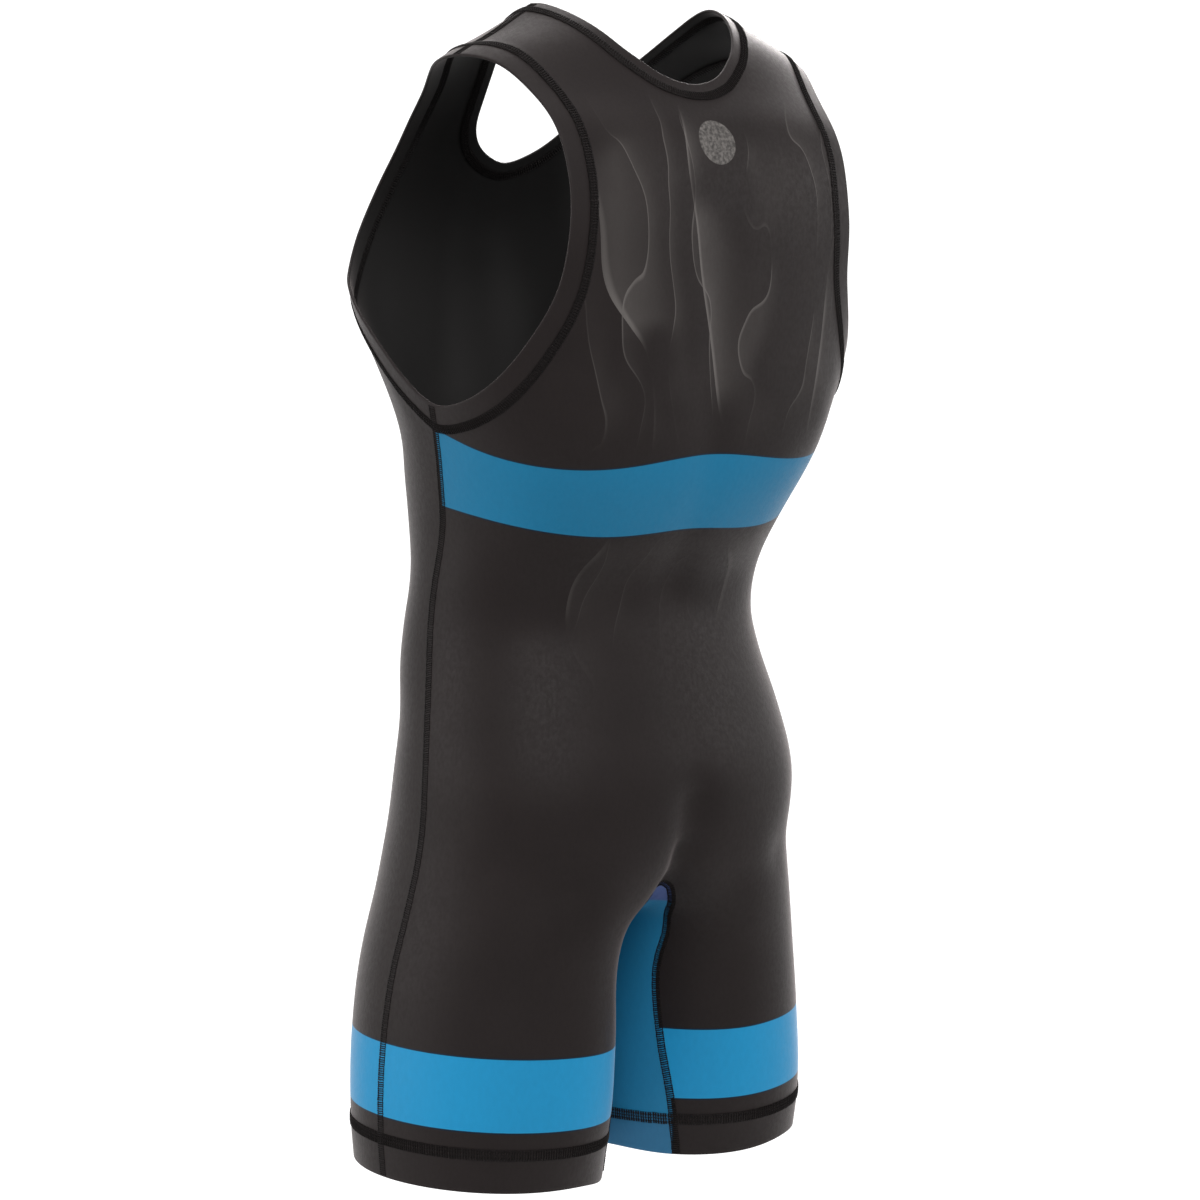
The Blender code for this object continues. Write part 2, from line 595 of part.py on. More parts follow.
def wall(name, points, normals, quads, thickness, colour):
    """Closed wall of even thickness on a grid of points, as one object."""
    count = len(points)
    half = thickness / 2
    triangles = [item for quad in quads for item in split(points, quad)]
    vertices = np.concatenate([points + normals * half, points - normals * half]) * MM
    edges = {}
    for quad in quads:
        for start, end in zip(quad, quad[1:] + quad[:1]):
            edges[(start, end)] = True
    rim = [edge for edge in edges if (edge[1], edge[0]) not in edges]
    body = bmesh.new()
    corner = [body.verts.new(vertex) for vertex in vertices]
    for triangle in triangles:
        body.faces.new([corner[i] for i in triangle])
        body.faces.new([corner[i + count] for i in reversed(triangle)])
    for start, end in rim:
        side = (end, start, start + count, end + count)
        body.faces.new([corner[i] for i in side])
    for face in body.faces:
        face.smooth = True
    for edge in body.edges:
        edge.smooth = edge.calc_face_angle(0.0) < SHARP_ANGLE
    mesh = bpy.data.meshes.new(name)
    body.to_mesh(mesh)
    body.free()
    item = bpy.data.objects.new(name, mesh)
    item.data.materials.append(material(colour))
    bpy.context.scene.collection.objects.link(item)
    return item


def material(name):
    if name in bpy.data.materials:
        return bpy.data.materials[name]
    cloth = bpy.data.materials.new(name)
    cloth.use_nodes = True
    shader = cloth.node_tree.nodes["Principled BSDF"]
    shader.inputs["Base Color"].default_value = COLOURS[name]
    shader.inputs["Roughness"].default_value = 0.6
    shader.inputs["Metallic"].default_value = 0.0
    return cloth


def grid_quads(index):
    """Quads of an index grid; -1 marks a missing point."""
    quads = []
    for row in range(index.shape[0] - 1):
        for column in range(index.shape[1] - 1):
            quad = [index[row, column], index[row, column + 1],
                    index[row + 1, column + 1], index[row + 1, column]]
            if min(quad) >= 0:
                quads.append([int(i) for i in quad])
    return quads


def facing_out(points, normals, quads):
    """Turn the quads so that they face along the normals."""
    a, b, c = (points[[quad[i] for quad in quads]] for i in range(3))
    facing = (np.cross(b - a, c - a) * normals[[quad[0] for quad in quads]]).sum(axis=1)
    return quads if facing.mean() > 0 else [quad[::-1] for quad in quads]


def both_halves(points, normals, exists, on_centre):
    """Join a grid on the wearer's left with its mirror image."""
    index = np.full(exists.shape, -1)
    index[exists] = np.arange(exists.sum())
    left, left_normals = points[exists], normals[exists]
    middle = on_centre[exists]
    left[middle, 0] = 0.0
    left_normals[middle, 0] = 0.0
    left_normals /= np.linalg.norm(left_normals, axis=1, keepdims=True)
    mirror = np.array([-1.0, 1.0, 1.0])
    other = np.where(middle, np.arange(len(left)), 0)
    other[~middle] = len(left) + np.arange((~middle).sum())
    quads = facing_out(left, left_normals, grid_quads(index))
    quads = quads + [[int(other[i]) for i in reversed(quad)] for quad in quads]
    return (np.concatenate([left, left[~middle] * mirror]),
            np.concatenate([left_normals, left_normals[~middle] * mirror]), quads)


def make_panel(form, name, side, armhole, neck, seam, yoke):
    reach, along, exists = panel_places(form, side, armhole, neck, seam, yoke)
    points, normals = form.at(reach, along), form.normal(reach, along)
    on_centre = np.zeros(exists.shape, bool)
    on_centre[LEG_ROWS:, COLUMNS] = True
    wall(name, *both_halves(points, normals, exists, on_centre), PANEL_THICKNESS, "black_cloth")


def make_gusset(form, back, front):
    halves = gusset_places(form, back, front)
    points = [form.at(*half) for half in halves]
    normals = [form.normal(*half) for half in halves]
    points = np.concatenate([points[0], points[1][:, -2::-1]], axis=1)
    normals = np.concatenate([normals[0], normals[1][:, -2::-1]], axis=1)
    on_centre = np.zeros(points.shape[:2], bool)
    on_centre[0] = True
    exists = np.ones(points.shape[:2], bool)
    wall("crotch_gusset", *both_halves(points, normals, exists, on_centre),
         PANEL_THICKNESS, "blue_cloth")


def make_ring(name, points, normals, colour, mirror=False):
    """Closed band: points[row, station], the last station joins the first."""
    rows, stations = points.shape[:2]
    index = np.arange(rows * stations).reshape(rows, stations)
    index = np.concatenate([index, index[:, :1]], axis=1)
    points, normals = points.reshape(-1, 3), normals.reshape(-1, 3)
    quads = facing_out(points, normals, grid_quads(index))
    if mirror:
        flip = np.array([-1.0, 1.0, 1.0])
        points, normals = points * flip, normals * flip
        quads = [quad[::-1] for quad in quads]
    wall(name, points, normals, quads, EDGE_THICKNESS, colour)


def make_armhole_bands(form, reach, along):
    rows = [inset(form, reach, along, ARMHOLE_EDGE * part, True)
            for part in np.linspace(0.0, 1.0, BAND_COLUMNS + 1)]
    points = np.array([form.at(*row) for row in rows])
    normals = np.array([form.normal(*row) for row in rows])
    make_ring("armhole_edge_left", points, normals, "edge_cloth")
    make_ring("armhole_edge_right", points, normals, "edge_cloth", mirror=True)


def make_neck_band(form, reach, along):
    rows = [inset(form, reach, along, -NECK_EDGE * part, False)
            for part in np.linspace(0.0, 1.0, BAND_COLUMNS + 1)]
    points = np.array([form.at(*row) for row in rows])
    normals = np.array([form.normal(*row) for row in rows])
    points[:, [0, -1], 0] = 0.0
    normals[:, [0, -1], 0] = 0.0
    flip = np.array([-1.0, 1.0, 1.0])
    points = np.concatenate([points, points[:, -2:0:-1] * flip], axis=1)
    normals = np.concatenate([normals, normals[:, -2:0:-1] * flip], axis=1)
    make_ring("neck_edge", points, normals, "edge_cloth")


def make_hems(form, back, front):
    parts = []
    for seam, side, columns in zip((back, front), (1, -1), GUSSET_COLUMNS):
        end = float(form.end(seam[1][-1], side))
        outer = hem_line(form, HEM_LEVEL + HEM_DEPTH, 0.0, seam[0][-1], COLUMNS - 1)[0]
        inner = np.linspace(seam[0][-1], end, columns + 1)[1:]
        parts.append(np.concatenate([outer, inner]) / end)
    rows = []
    for level in np.linspace(HEM_LEVEL + HEM_DEPTH - SEAM_GAP, HEM_LEVEL, BAND_COLUMNS + 1):
        along = float(form.along_of(level))
        reach = np.concatenate([parts[0] * form.end(along, 1), parts[1][-2:0:-1] * form.end(along, -1)])
        rows.append((reach, form.level_cut(reach, level)))
    points = np.array([form.at(*row) for row in rows])
    normals = np.array([form.normal(*row) for row in rows])
    make_ring("hem_left", points, normals, "edge_cloth")
    make_ring("hem_right", points, normals, "edge_cloth", mirror=True)


def main():
    clear_scene()
    form = Form()
    reach, along, turn = armhole_edge(form)
    make_armhole_bands(form, reach, along)
    cut = inset(form, reach, along, ARMHOLE_EDGE + SEAM_GAP, True)
    armholes = [[item[:turn][::-1] for item in cut],
                [np.append(item[turn - 1:], item[0]) for item in cut]]

    reach, along, top = neck_edge(form)
    make_neck_band(form, reach, along)
    cut = inset(form, reach, along, -NECK_EDGE - SEAM_GAP, False)
    necks = [[item[top - 1:][::-1] for item in cut], [item[:top] for item in cut]]

    seams = [gusset_seam(form, GUSSET_BACK, 1), gusset_seam(form, GUSSET_FRONT, -1)]
    half = SEAM_GAP / 2
    outer = [offset_seam(form, *seams[0], -half, 1), offset_seam(form, *seams[1], half, -1)]
    inner = [offset_seam(form, *seams[0], half, 1), offset_seam(form, *seams[1], -half, -1)]
    make_panel(form, "back_panel", 1, armholes[0], necks[0], outer[0], BACK_YOKE_ROWS)
    make_panel(form, "front_panel", -1, armholes[1], necks[1], outer[1], FRONT_YOKE_ROWS)
    make_gusset(form, *inner)
    make_hems(form, *seams)


main()
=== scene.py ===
# %% [markdown]
# # A wrestling singlet, open and hollow
#
# The frame holds the singlet's cut pieces as thick, plain walls: a back, a front, an inner-leg
# gusset, and the turned edges of the neck, the armholes and the legs.  In this lesson each wall
# gives its outer face to a thin sheet of knit, the sheets are sewn edge to edge, and the seams get
# real thread.  The walls themselves stay in the frame and are only hidden.

# %% The frame
import math

import bpy
import numpy as np
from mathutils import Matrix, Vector
from mathutils.bvhtree import BVHTree
from mathutils.kdtree import KDTree


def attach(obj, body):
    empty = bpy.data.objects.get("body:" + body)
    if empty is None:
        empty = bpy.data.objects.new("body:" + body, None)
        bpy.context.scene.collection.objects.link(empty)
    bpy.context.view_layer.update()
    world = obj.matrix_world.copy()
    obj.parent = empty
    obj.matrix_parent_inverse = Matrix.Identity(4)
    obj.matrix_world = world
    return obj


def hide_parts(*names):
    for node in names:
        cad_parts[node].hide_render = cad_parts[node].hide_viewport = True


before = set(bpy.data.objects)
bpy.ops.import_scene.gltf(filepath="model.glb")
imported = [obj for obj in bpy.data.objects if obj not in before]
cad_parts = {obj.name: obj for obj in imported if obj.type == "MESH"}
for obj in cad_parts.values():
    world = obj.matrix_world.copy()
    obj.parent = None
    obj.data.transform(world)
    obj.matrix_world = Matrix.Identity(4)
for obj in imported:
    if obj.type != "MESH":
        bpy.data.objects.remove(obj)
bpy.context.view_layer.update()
MM = 0.001
print("nodes:", sorted(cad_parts))

# %% [markdown]
# ## The camera
#
# A long lens from behind the wearer's left shoulder, at the height of the upper chest and looking
# slightly down.  The picture is square, so the lens length follows from the width of the sensor
# and the angle that is wanted.

# %% The camera
CAMERA_TURN = math.radians(140.0)       # from the front, round to the wearer's left and back
CAMERA_RISE = math.radians(6.2)
CAMERA_AWAY = 2.85
CAMERA_AIM = Vector((0.0, -0.027, -0.4395))
LENS = 114.5
SENSOR_WIDTH = 36.0
CLIP_END = 60.0


def make_camera():
    """A camera that looks at the middle of the singlet."""
    bpy.ops.object.camera_add()
    camera = bpy.context.object
    back = Vector((
        math.sin(CAMERA_TURN) * math.cos(CAMERA_RISE),
        -math.cos(CAMERA_TURN) * math.cos(CAMERA_RISE),
        math.sin(CAMERA_RISE)))
    camera.location = CAMERA_AIM + back * CAMERA_AWAY
    camera.rotation_mode = "QUATERNION"
    camera.rotation_quaternion = (-back).to_track_quat("-Z", "Y")
    camera.data.lens = LENS
    camera.data.sensor_width = SENSOR_WIDTH
    camera.data.clip_end = CLIP_END
    bpy.context.scene.camera = camera


make_camera()
print("camera", CAMERA_AWAY, "m away")

# %% [markdown]
# ## Sheets of cloth from the walls
#
# Each wall came in as loose triangles.  A copy of it is welded and turned back into quads.  The
# narrow rim is the only place where it bends sharply, so splitting it there leaves an outer face,
# an inner face and the rims as separate parts, and the part that looks away from the inside of
# the singlet is kept.  This is quicker and truer than modelling the same shape twice.

# %% Helpers for selecting
WELD = 0.02 * MM
RIM_ANGLE = math.radians(55.0)
LEG_AXIS = (95.0 * MM, -54.0 * MM)
TRUNK_AXIS = (0.0, -35.0 * MM)
CROTCH = -650.0 * MM


def only(*pieces):
    """Select these pieces and nothing else."""
    bpy.ops.object.select_all(action="DESELECT")
    for piece in pieces:
        piece.select_set(True)
    bpy.context.view_layer.objects.active = pieces[0]


def places(piece):
    """The vertices of a piece as rows of x, y and z."""
    flat = np.empty(len(piece.data.vertices) * 3)
    piece.data.vertices.foreach_get("co", flat)
    return flat.reshape(-1, 3)


def put_places(piece, points):
    piece.data.vertices.foreach_set("co", np.asarray(points, float).ravel())
    piece.data.update()


def normals_of(piece):
    flat = np.empty(len(piece.data.vertices) * 3)
    piece.data.vertex_normals.foreach_get("vector", flat)
    return flat.reshape(-1, 3)


def axis_near(points):
    """For each point, the point on the middle of the trunk or of its leg."""
    leg = points[:, 2] < CROTCH
    x = np.where(leg, np.sign(points[:, 0]) * LEG_AXIS[0], TRUNK_AXIS[0])
    y = np.where(leg, LEG_AXIS[1], TRUNK_AXIS[1])
    return np.stack([x, y, points[:, 2]], axis=1)


def outwardness(piece):
    """How much the faces of a piece look away from the inside of the singlet."""
    faces = piece.data.polygons
    centres = np.array([face.center for face in faces])
    normals = np.array([face.normal for face in faces])
    areas = np.array([face.area for face in faces])
    away = centres - axis_near(centres)
    return float(((normals * away).sum(axis=1) * areas).sum())


# %% One sheet from one wall
def sheet_from(node, name):
    """A one-sided sheet of quads, lying where the node's outer face lies."""
    piece = bpy.data.objects.new(name, bpy.data.objects[node].data.copy())
    bpy.context.scene.collection.objects.link(piece)
    piece.data.materials.clear()
    only(piece)
    bpy.ops.mesh.customdata_custom_splitnormals_clear()
    bpy.ops.object.mode_set(mode="EDIT")
    bpy.ops.mesh.select_mode(type="EDGE")
    bpy.ops.mesh.select_all(action="SELECT")
    bpy.ops.mesh.remove_doubles(threshold=WELD)
    bpy.ops.mesh.tris_convert_to_quads(
        face_threshold=RIM_ANGLE, shape_threshold=math.pi, topology_influence=1.0)
    bpy.ops.mesh.select_all(action="DESELECT")
    bpy.ops.mesh.edges_select_sharp(sharpness=RIM_ANGLE)
    bpy.ops.mesh.edge_split(type="EDGE")
    bpy.ops.mesh.select_all(action="SELECT")
    bpy.ops.mesh.separate(type="LOOSE")
    bpy.ops.object.mode_set(mode="OBJECT")
    parts = sorted(bpy.context.selected_objects, key=outwardness)
    skin = parts.pop()
    for part in parts:
        bpy.data.objects.remove(part, do_unlink=True)
    skin.name = name
    skin.data.name = name
    only(skin)
    bpy.ops.object.shade_smooth()
    print(name, "has", len(skin.data.polygons), "faces")
    return skin


NODES = {
    "back_cloth": "back_panel",
    "front_cloth": "front_panel",
    "gusset_cloth": "crotch_gusset",
    "neck_turning": "neck_edge",
    "armhole_turning_left": "armhole_edge_left",
    "armhole_turning_right": "armhole_edge_right",
    "hem_turning_left": "hem_left",
    "hem_turning_right": "hem_right",
}
sheets = {name: sheet_from(node, name) for name, node in NODES.items()}

# %% [markdown]
# ## The cut of each sheet
#
# Unwrapping a sheet lays it flat, much as a pattern cutter would draw it.  The flat shape is then
# scaled to millimetres and turned so that V runs up the body, because knit is cut with its
# columns of loops running that way.  A hem is a tube, so it is opened along the side seam first.

# %% Flat patterns
SIDE_LINE = (150.0 * MM, 2.0 * MM)      # a hem's side column: least |x|, most it strays in y


def open_hem(piece):
    """Mark the side column of a hem as the cut where its tube is opened."""
    points = places(piece)
    side = (abs(points[:, 0]) > SIDE_LINE[0]) & (abs(points[:, 1] - LEG_AXIS[1]) < SIDE_LINE[1])
    for edge in piece.data.edges:
        edge.use_seam = bool(side[edge.vertices[0]] and side[edge.vertices[1]])


def lay_flat(piece):
    """Give a sheet a UV map of its flat cut, in millimetres with V upwards."""
    only(piece)
    bpy.ops.object.mode_set(mode="EDIT")
    bpy.ops.mesh.select_all(action="SELECT")
    bpy.ops.uv.unwrap(method="ANGLE_BASED", margin=0.0)
    bpy.ops.object.mode_set(mode="OBJECT")
    mesh = piece.data
    layer = mesh.uv_layers.active.data
    flat = np.array([item.uv for item in layer])
    corners = [np.array(face.loop_indices) for face in mesh.polygons]
    area = 0.0
    for loop in corners:
        u, v = flat[loop].T
        area += abs(np.dot(u, np.roll(v, 1)) - np.dot(v, np.roll(u, 1))) / 2
    real = sum(face.area for face in mesh.polygons)
    flat *= math.sqrt(real / area) / MM
    height = places(piece)[[loop.vertex_index for loop in mesh.loops], 2]
    slope = np.linalg.lstsq(np.c_[flat, np.ones(len(flat))], height, rcond=None)[0][:2]
    across = np.array([slope[1], -slope[0]]) / np.linalg.norm(slope)
    along = slope / np.linalg.norm(slope)
    flat = np.stack([flat @ across, flat @ along], axis=1)
    flat -= flat.min(axis=0)
    for item, place in zip(layer, flat):
        item.uv = place
    width, length = flat.max(axis=0)
    print(f"{piece.name}: cut {width:.0f} x {length:.0f} mm, {real / MM / MM / 100:.0f} square cm")


for name, piece in sheets.items():
    if not piece.data.uv_layers:
        piece.data.uv_layers.new(name="cut")
    if name.startswith("hem"):
        open_hem(piece)
    lay_flat(piece)

# %% [markdown]
# ## Rounder cloth
#
# A subdivision surface rounds the quads off, but it also pulls the surface in.  So every vertex is
# first pushed out by as much as the first round of subdivision moves it in, and the finer sheet
# then passes close to the old points.

# %% Finer sheets
LEVELS = 2


def subdivide(piece, levels):
    rounder = piece.modifiers.new("rounder", "SUBSURF")
    rounder.levels = levels
    rounder.render_levels = levels
    rounder.boundary_smooth = "PRESERVE_CORNERS"
    only(piece)
    bpy.ops.object.modifier_apply(modifier="rounder")


def push_out(piece):
    """Move the vertices out by as much as a subdivision would pull them in."""
    trial = piece.copy()
    trial.data = piece.data.copy()
    bpy.context.scene.collection.objects.link(trial)
    subdivide(trial, 1)
    before = places(piece)
    after = places(trial)[:len(before)]
    put_places(piece, 2 * before - after)
    bpy.data.objects.remove(trial, do_unlink=True)


for name, piece in sheets.items():
    push_out(piece)
    subdivide(piece, LEVELS)
    print(name, "now has", len(piece.data.polygons), "faces")

# %% [markdown]
# ## A tighter line over the crotch
#
# Where the gusset ends behind, its seam should run close to the fold between the legs.  The walls
# let it swing out a little, so the points round that bend slide along the cloth, and are set back
# down on the old surface, which itself doesn't change.

# %% Easing the gusset's bend
BENDS = [
    # place, slide and spread on the wearer's left, in mm
    ((22.5, 31.0, -672.5), (-2.8, -4.5, 0.0), 10.5),
    ((2.5, 43.0, -653.5), (-0.6, 3.6, 2.2), 5.5),
]
LEAST_SLIDE = 0.02 * MM                 # points that slide less than this stay as they are


def surface_of(*pieces):
    """The faces of some pieces as one searchable surface."""
    points, faces = [], []
    for piece in pieces:
        start = len(points)
        points += [tuple(point) for point in places(piece)]
        faces += [tuple(index + start for index in face.vertices) for face in piece.data.polygons]
    return BVHTree.FromPolygons(points, faces)


def ease_bend(pieces):
    surface = surface_of(*pieces)
    for piece in pieces:
        points = places(piece)
        for place, slide, spread in BENDS:
            for side in (1, -1):
                mirror = np.array([side, 1, 1])
                gap = np.linalg.norm(points / MM - np.array(place) * mirror, axis=1)
                share = np.exp(-(gap / spread) ** 2 / 2)
                points += share[:, None] * np.array(slide) * mirror * MM
        slid = np.linalg.norm(points - places(piece), axis=1)
        for index in np.nonzero(slid > LEAST_SLIDE)[0]:
            points[index] = surface.find_nearest(Vector(points[index]))[0]
        put_places(piece, points)


ease_bend([sheets["back_cloth"], sheets["gusset_cloth"]])

# %% [markdown]
# ## Settling on the shoulders and the thighs
#
# Cloth gives a little where it is held: the straps slope off more steeply at their outer edges
# than the walls do, one hem sags at its inner corner, and the other rides up.  Each of these is a
# place, a move and a spread, and the move dies away smoothly with the distance from the place.

# %% Settled places
SETTLED = [
    # place, move, and spread across and upwards, in mm
    ((136, -2, -30), (-1.6, 0, -5.2), (28, 24)),
    ((-136, -2, -30), (1.6, 0, -5.2), (28, 24)),
    ((42, 22, -862), (-0.6, 0.6, -4.8), (22, 13)),
    ((-32, -38, -862), (0, 0, 5.5), (26, 13)),
    ((-128, 32, -862), (0, 0, 2.8), (26, 13)),
]


def settle(piece):
    points = places(piece)
    moves = np.zeros_like(points)
    for place, move, (across, upwards) in SETTLED:
        gap = np.linalg.norm((points / MM - place) / (across, across, upwards), axis=1)
        moves += np.exp(-gap ** 2 / 2)[:, None] * np.array(move) * MM
    put_places(piece, points + moves)
    print(f"{piece.name}: settled by up to {np.linalg.norm(moves, axis=1).max() / MM:.1f} mm")


for piece in sheets.values():
    settle(piece)

# %% [markdown]
# ## Soft creases
#
# A stretched singlet has hardly any wrinkles, only shallow troughs and ridges.  Each one is a line
# of points seen from behind or from in front, with a depth and a spread, and the cloth moves in
# or out along its own normal near that line, alike on the left and the right.

# %% Troughs and ridges
CREASES = [
    # from behind (+1) or in front (-1); points (x, z) in mm; depth in mm, out is +; spread in mm
    (1, [(0, -170), (0, -420)], -1.6, 13),
    (1, [(0, -580), (0, -640)], -3.8, 13),
    (1, [(0, -618), (0, -648)], -3.6, 7),
    (1, [(0, -580), (0, -618)], -2.0, 9),
    (1, [(30, -414), (78, -394)], 0.7, 12),
    (1, [(24, -438), (70, -424)], -0.35, 14),
    (1, [(52, -646), (98, -634)], -0.9, 10),
    (1, [(108, -630), (140, -620)], -2.3, 15),
    (1, [(112, -580), (140, -574)], 1.1, 18),
    (1, [(118, -300), (96, -262)], 0.7, 9),
    (-1, [(0, -190), (0, -330)], -1.2, 14),
    (-1, [(34, -448), (96, -430)], 0.9, 9),
    (-1, [(28, -474), (92, -462)], -0.8, 9),
    (-1, [(30, -648), (108, -606)], -1.3, 9),
    (-1, [(112, -290), (90, -258)], 0.7, 9),
]
FACING = 2                              # creases are at full depth where |normal y| is over 1/2


def gap_to_line(spots, line):
    """How far each spot lies from a line of points."""
    best = np.full(len(spots), np.inf)
    for start, end in zip(line[:-1], line[1:]):
        start, way = np.array(start, float), np.subtract(end, start)
        along = np.clip((spots - start) @ way / (way @ way), 0, 1)
        best = np.minimum(best, np.linalg.norm(spots - start - along[:, None] * way, axis=1))
    return best


def crease(piece):
    points, normals = places(piece), normals_of(piece)
    spots = np.stack([abs(points[:, 0]), points[:, 2]], axis=1) / MM
    depth = np.zeros(len(points))
    for side, line, height, spread in CREASES:
        facing = np.clip(side * normals[:, 1] * FACING, 0, 1)
        depth += facing * height * np.exp(-(gap_to_line(spots, line) / spread) ** 2 / 2)
    put_places(piece, points + normals * depth[:, None] * MM)
    print(f"{piece.name}: creased from {depth.min():.1f} to {depth.max():.1f} mm")


for piece in sheets.values():
    crease(piece)

# %% [markdown]
# ## Sewing the sheets together
#
# The walls keep a hair's breadth between them, and the double-thick edges stand a little prouder
# than the panels.  Real cloth meets in its seam, so every border point that has a neighbour on
# another sheet is moved to the middle between them.  The seam lines are read off the same
# borders afterwards, for the thread.

# %% Borders and sewing
SEW_REACH = 2.0 * MM
ON_SEAM = 1.5 * MM


def open_edges(piece):
    """Pairs of vertices on the border of a sheet."""
    mesh = piece.data
    pairs = np.empty(len(mesh.edges) * 2, int)
    mesh.edges.foreach_get("vertices", pairs)
    used = np.empty(len(mesh.loops), int)
    mesh.loops.foreach_get("edge_index", used)
    return pairs.reshape(-1, 2)[np.bincount(used, minlength=len(mesh.edges)) == 1]


def tree_of(points):
    tree = KDTree(len(points))
    for index, point in enumerate(points):
        tree.insert(point, index)
    tree.balance()
    return tree


def border_trees(pieces, values):
    """For each sheet, its border vertices and a tree to search them."""
    borders = [np.unique(open_edges(piece)) for piece in pieces]
    trees = [tree_of(value[border]) for value, border in zip(values, borders)]
    return borders, trees


def sew(pieces):
    """Bring the borders of neighbouring sheets together."""
    points = [places(piece) for piece in pieces]
    borders, trees = border_trees(pieces, points)
    pairs = 0
    for here, piece in enumerate(pieces):
        moved = points[here].copy()
        for index in borders[here]:
            spot = points[here][index]
            found = [tree.find(spot) for there, tree in enumerate(trees) if there != here]
            near = [np.array(item[0]) for item in found if item[2] < SEW_REACH]
            moved[index] = np.mean([spot] + near, axis=0)
            pairs += len(near)
        put_places(piece, moved)
    print("sewn points:", pairs)


sew(list(sheets.values()))

# %% Seam lines
def walk(links):
    """Order linked vertices into chains, and say of each whether it is a ring."""
    chains = []
    left = set(links)
    while left:
        ends = [index for index in left if len(links[index]) == 1]
        here = min(ends) if ends else min(left)
        chain = [here]
        left.discard(here)
        while True:
            onward = [index for index in links[here] if index in left]
            if not onward:
                break
            here = onward[0]
            chain.append(here)
            left.discard(here)
        chains.append((chain, not ends))
    return chains


def seam_lines(piece, others):
    """Lines along which a sheet meets others: points, normals, and whether it is a ring."""
    points, normals = places(piece), normals_of(piece)
    there = np.concatenate([places(other)[np.unique(open_edges(other))] for other in others])
    tree = tree_of(there)
    pairs = open_edges(piece)
    near = {int(i) for i in np.unique(pairs) if tree.find(points[i])[2] < ON_SEAM}
    links = {index: [] for index in near}
    for a, b in pairs:
        if int(a) in near and int(b) in near:
            links[int(a)].append(int(b))
            links[int(b)].append(int(a))
    links = {index: ways for index, ways in links.items() if ways}
    return [(points[chain], normals[chain], ring) for chain, ring in walk(links)]


def report_lines(title, lines):
    for points, _, ring in lines:
        length = np.linalg.norm(np.diff(points, axis=0), axis=1).sum() / MM
        middle = (points.mean(axis=0) / MM).round().astype(int)
        print(f"{title}: {length:.0f} mm about {middle}, {'ring' if ring else 'open'}")


PANELS = [sheets["back_cloth"], sheets["front_cloth"]]
report_lines("side and shoulder", seam_lines(sheets["back_cloth"], PANELS[1:]))
report_lines("gusset behind", seam_lines(sheets["gusset_cloth"], PANELS[:1]))
report_lines("gusset before", seam_lines(sheets["gusset_cloth"], PANELS[1:]))
for name, piece in sheets.items():
    if "turning" in name:
        report_lines(name, seam_lines(piece, PANELS + [sheets["gusset_cloth"]]))

# %% [markdown]
# ## Where the colour bands lie
#
# The blue bands are printed on the knit, so they are colour and not shape.  For every vertex a
# number says how many millimetres it lies inside the nearest band, and below nought how far
# outside.  The number changes smoothly, so the printed edge comes out crisp although the mesh is
# coarse.  The chest band is on the back only; its two edges dip and rise as the back turns to the
# side, so they are given at a few angles round the trunk.

# %% Where the blue bands lie
LEG_BAND = (-811.0, -757.0)             # lower and upper edge, where the leg is cut level
LEG_SLANT = (0.035, -0.02)              # rise for each mm outwards and backwards
CHEST_AXIS_Y = -25.0
CHEST_TOP = [
    # degrees round the trunk from straight back, level in mm
    (0, -323.9), (15, -325.3), (26.6, -329.4), (40.6, -330.7), (50.6, -330.7),
    (57, -328), (65.5, -322.6), (72, -317), (78.8, -311.7), (85.5, -303.6), (100, -283),
]
CHEST_LOW = [
    (4, -378.3), (21.6, -382.3), (33.5, -382.3), (40.5, -381), (54.1, -378.3),
    (64.9, -372.8), (74.3, -368.7), (82.5, -366), (90.4, -360.6), (105, -351),
]
LINE_DEGREE = 4


def inside_leg_band(points):
    x, y, z = (points / MM).T
    level = z - LEG_SLANT[0] * (abs(x) - LEG_AXIS[0] / MM) - LEG_SLANT[1] * (y - LEG_AXIS[1] / MM)
    return np.minimum(level - LEG_BAND[0], LEG_BAND[1] - level)


def smooth_line(line):
    """A smooth level that is even in the angle, as a function of the angle squared."""
    angles, levels = np.array(line).T
    return np.polynomial.Polynomial.fit(angles ** 2, levels, LINE_DEGREE)


def inside_chest_band(points):
    x, y, z = (points / MM).T
    angle = np.degrees(np.arctan2(abs(x), y - CHEST_AXIS_Y))
    top, low = (smooth_line(line)(angle ** 2) for line in (CHEST_TOP, CHEST_LOW))
    return np.minimum(z - low, top - z)


# %% Where the gusset lies on a hem
gusset_seams = [
    seam_lines(sheets["gusset_cloth"], [sheets["back_cloth"]])[0],
    seam_lines(sheets["gusset_cloth"], [sheets["front_cloth"]])[0],
]


def inside_gusset(points):
    """For a hem: how far round the leg a point lies inside the gusset's stretch."""
    seams = np.array([seam[0][[0, -1]] for seam in gusset_seams]).reshape(-1, 3)
    side = np.sign(points[0, 0])
    seams = seams[np.sign(seams[:, 0]) == side]
    around = [np.arctan2(item[:, 1] - LEG_AXIS[1], -side * item[:, 0] + LEG_AXIS[0])
              for item in (points, seams)]
    radius = np.linalg.norm(seams[0, :2] - (side * LEG_AXIS[0], LEG_AXIS[1])) / MM
    return np.minimum(around[0] - min(around[1]), max(around[1]) - around[0]) * radius


# %% Where the smoke shows
SMOKE_UPPER = ((-325, -250), (-60, -110))       # levels where it fades in from below, from above
SMOKE_LOWER = ((-500, -430), (-380, -400))
SMOKE_LOWER_SHARE = 0.25
SMOKE_SIDES = (128, 92)                 # where it fades in from the sides


def fade(values, start, end):
    """Nought at start, one at end, smooth between."""
    share = np.clip((values - start) / (end - start), 0, 1)
    return share * share * (3 - 2 * share)


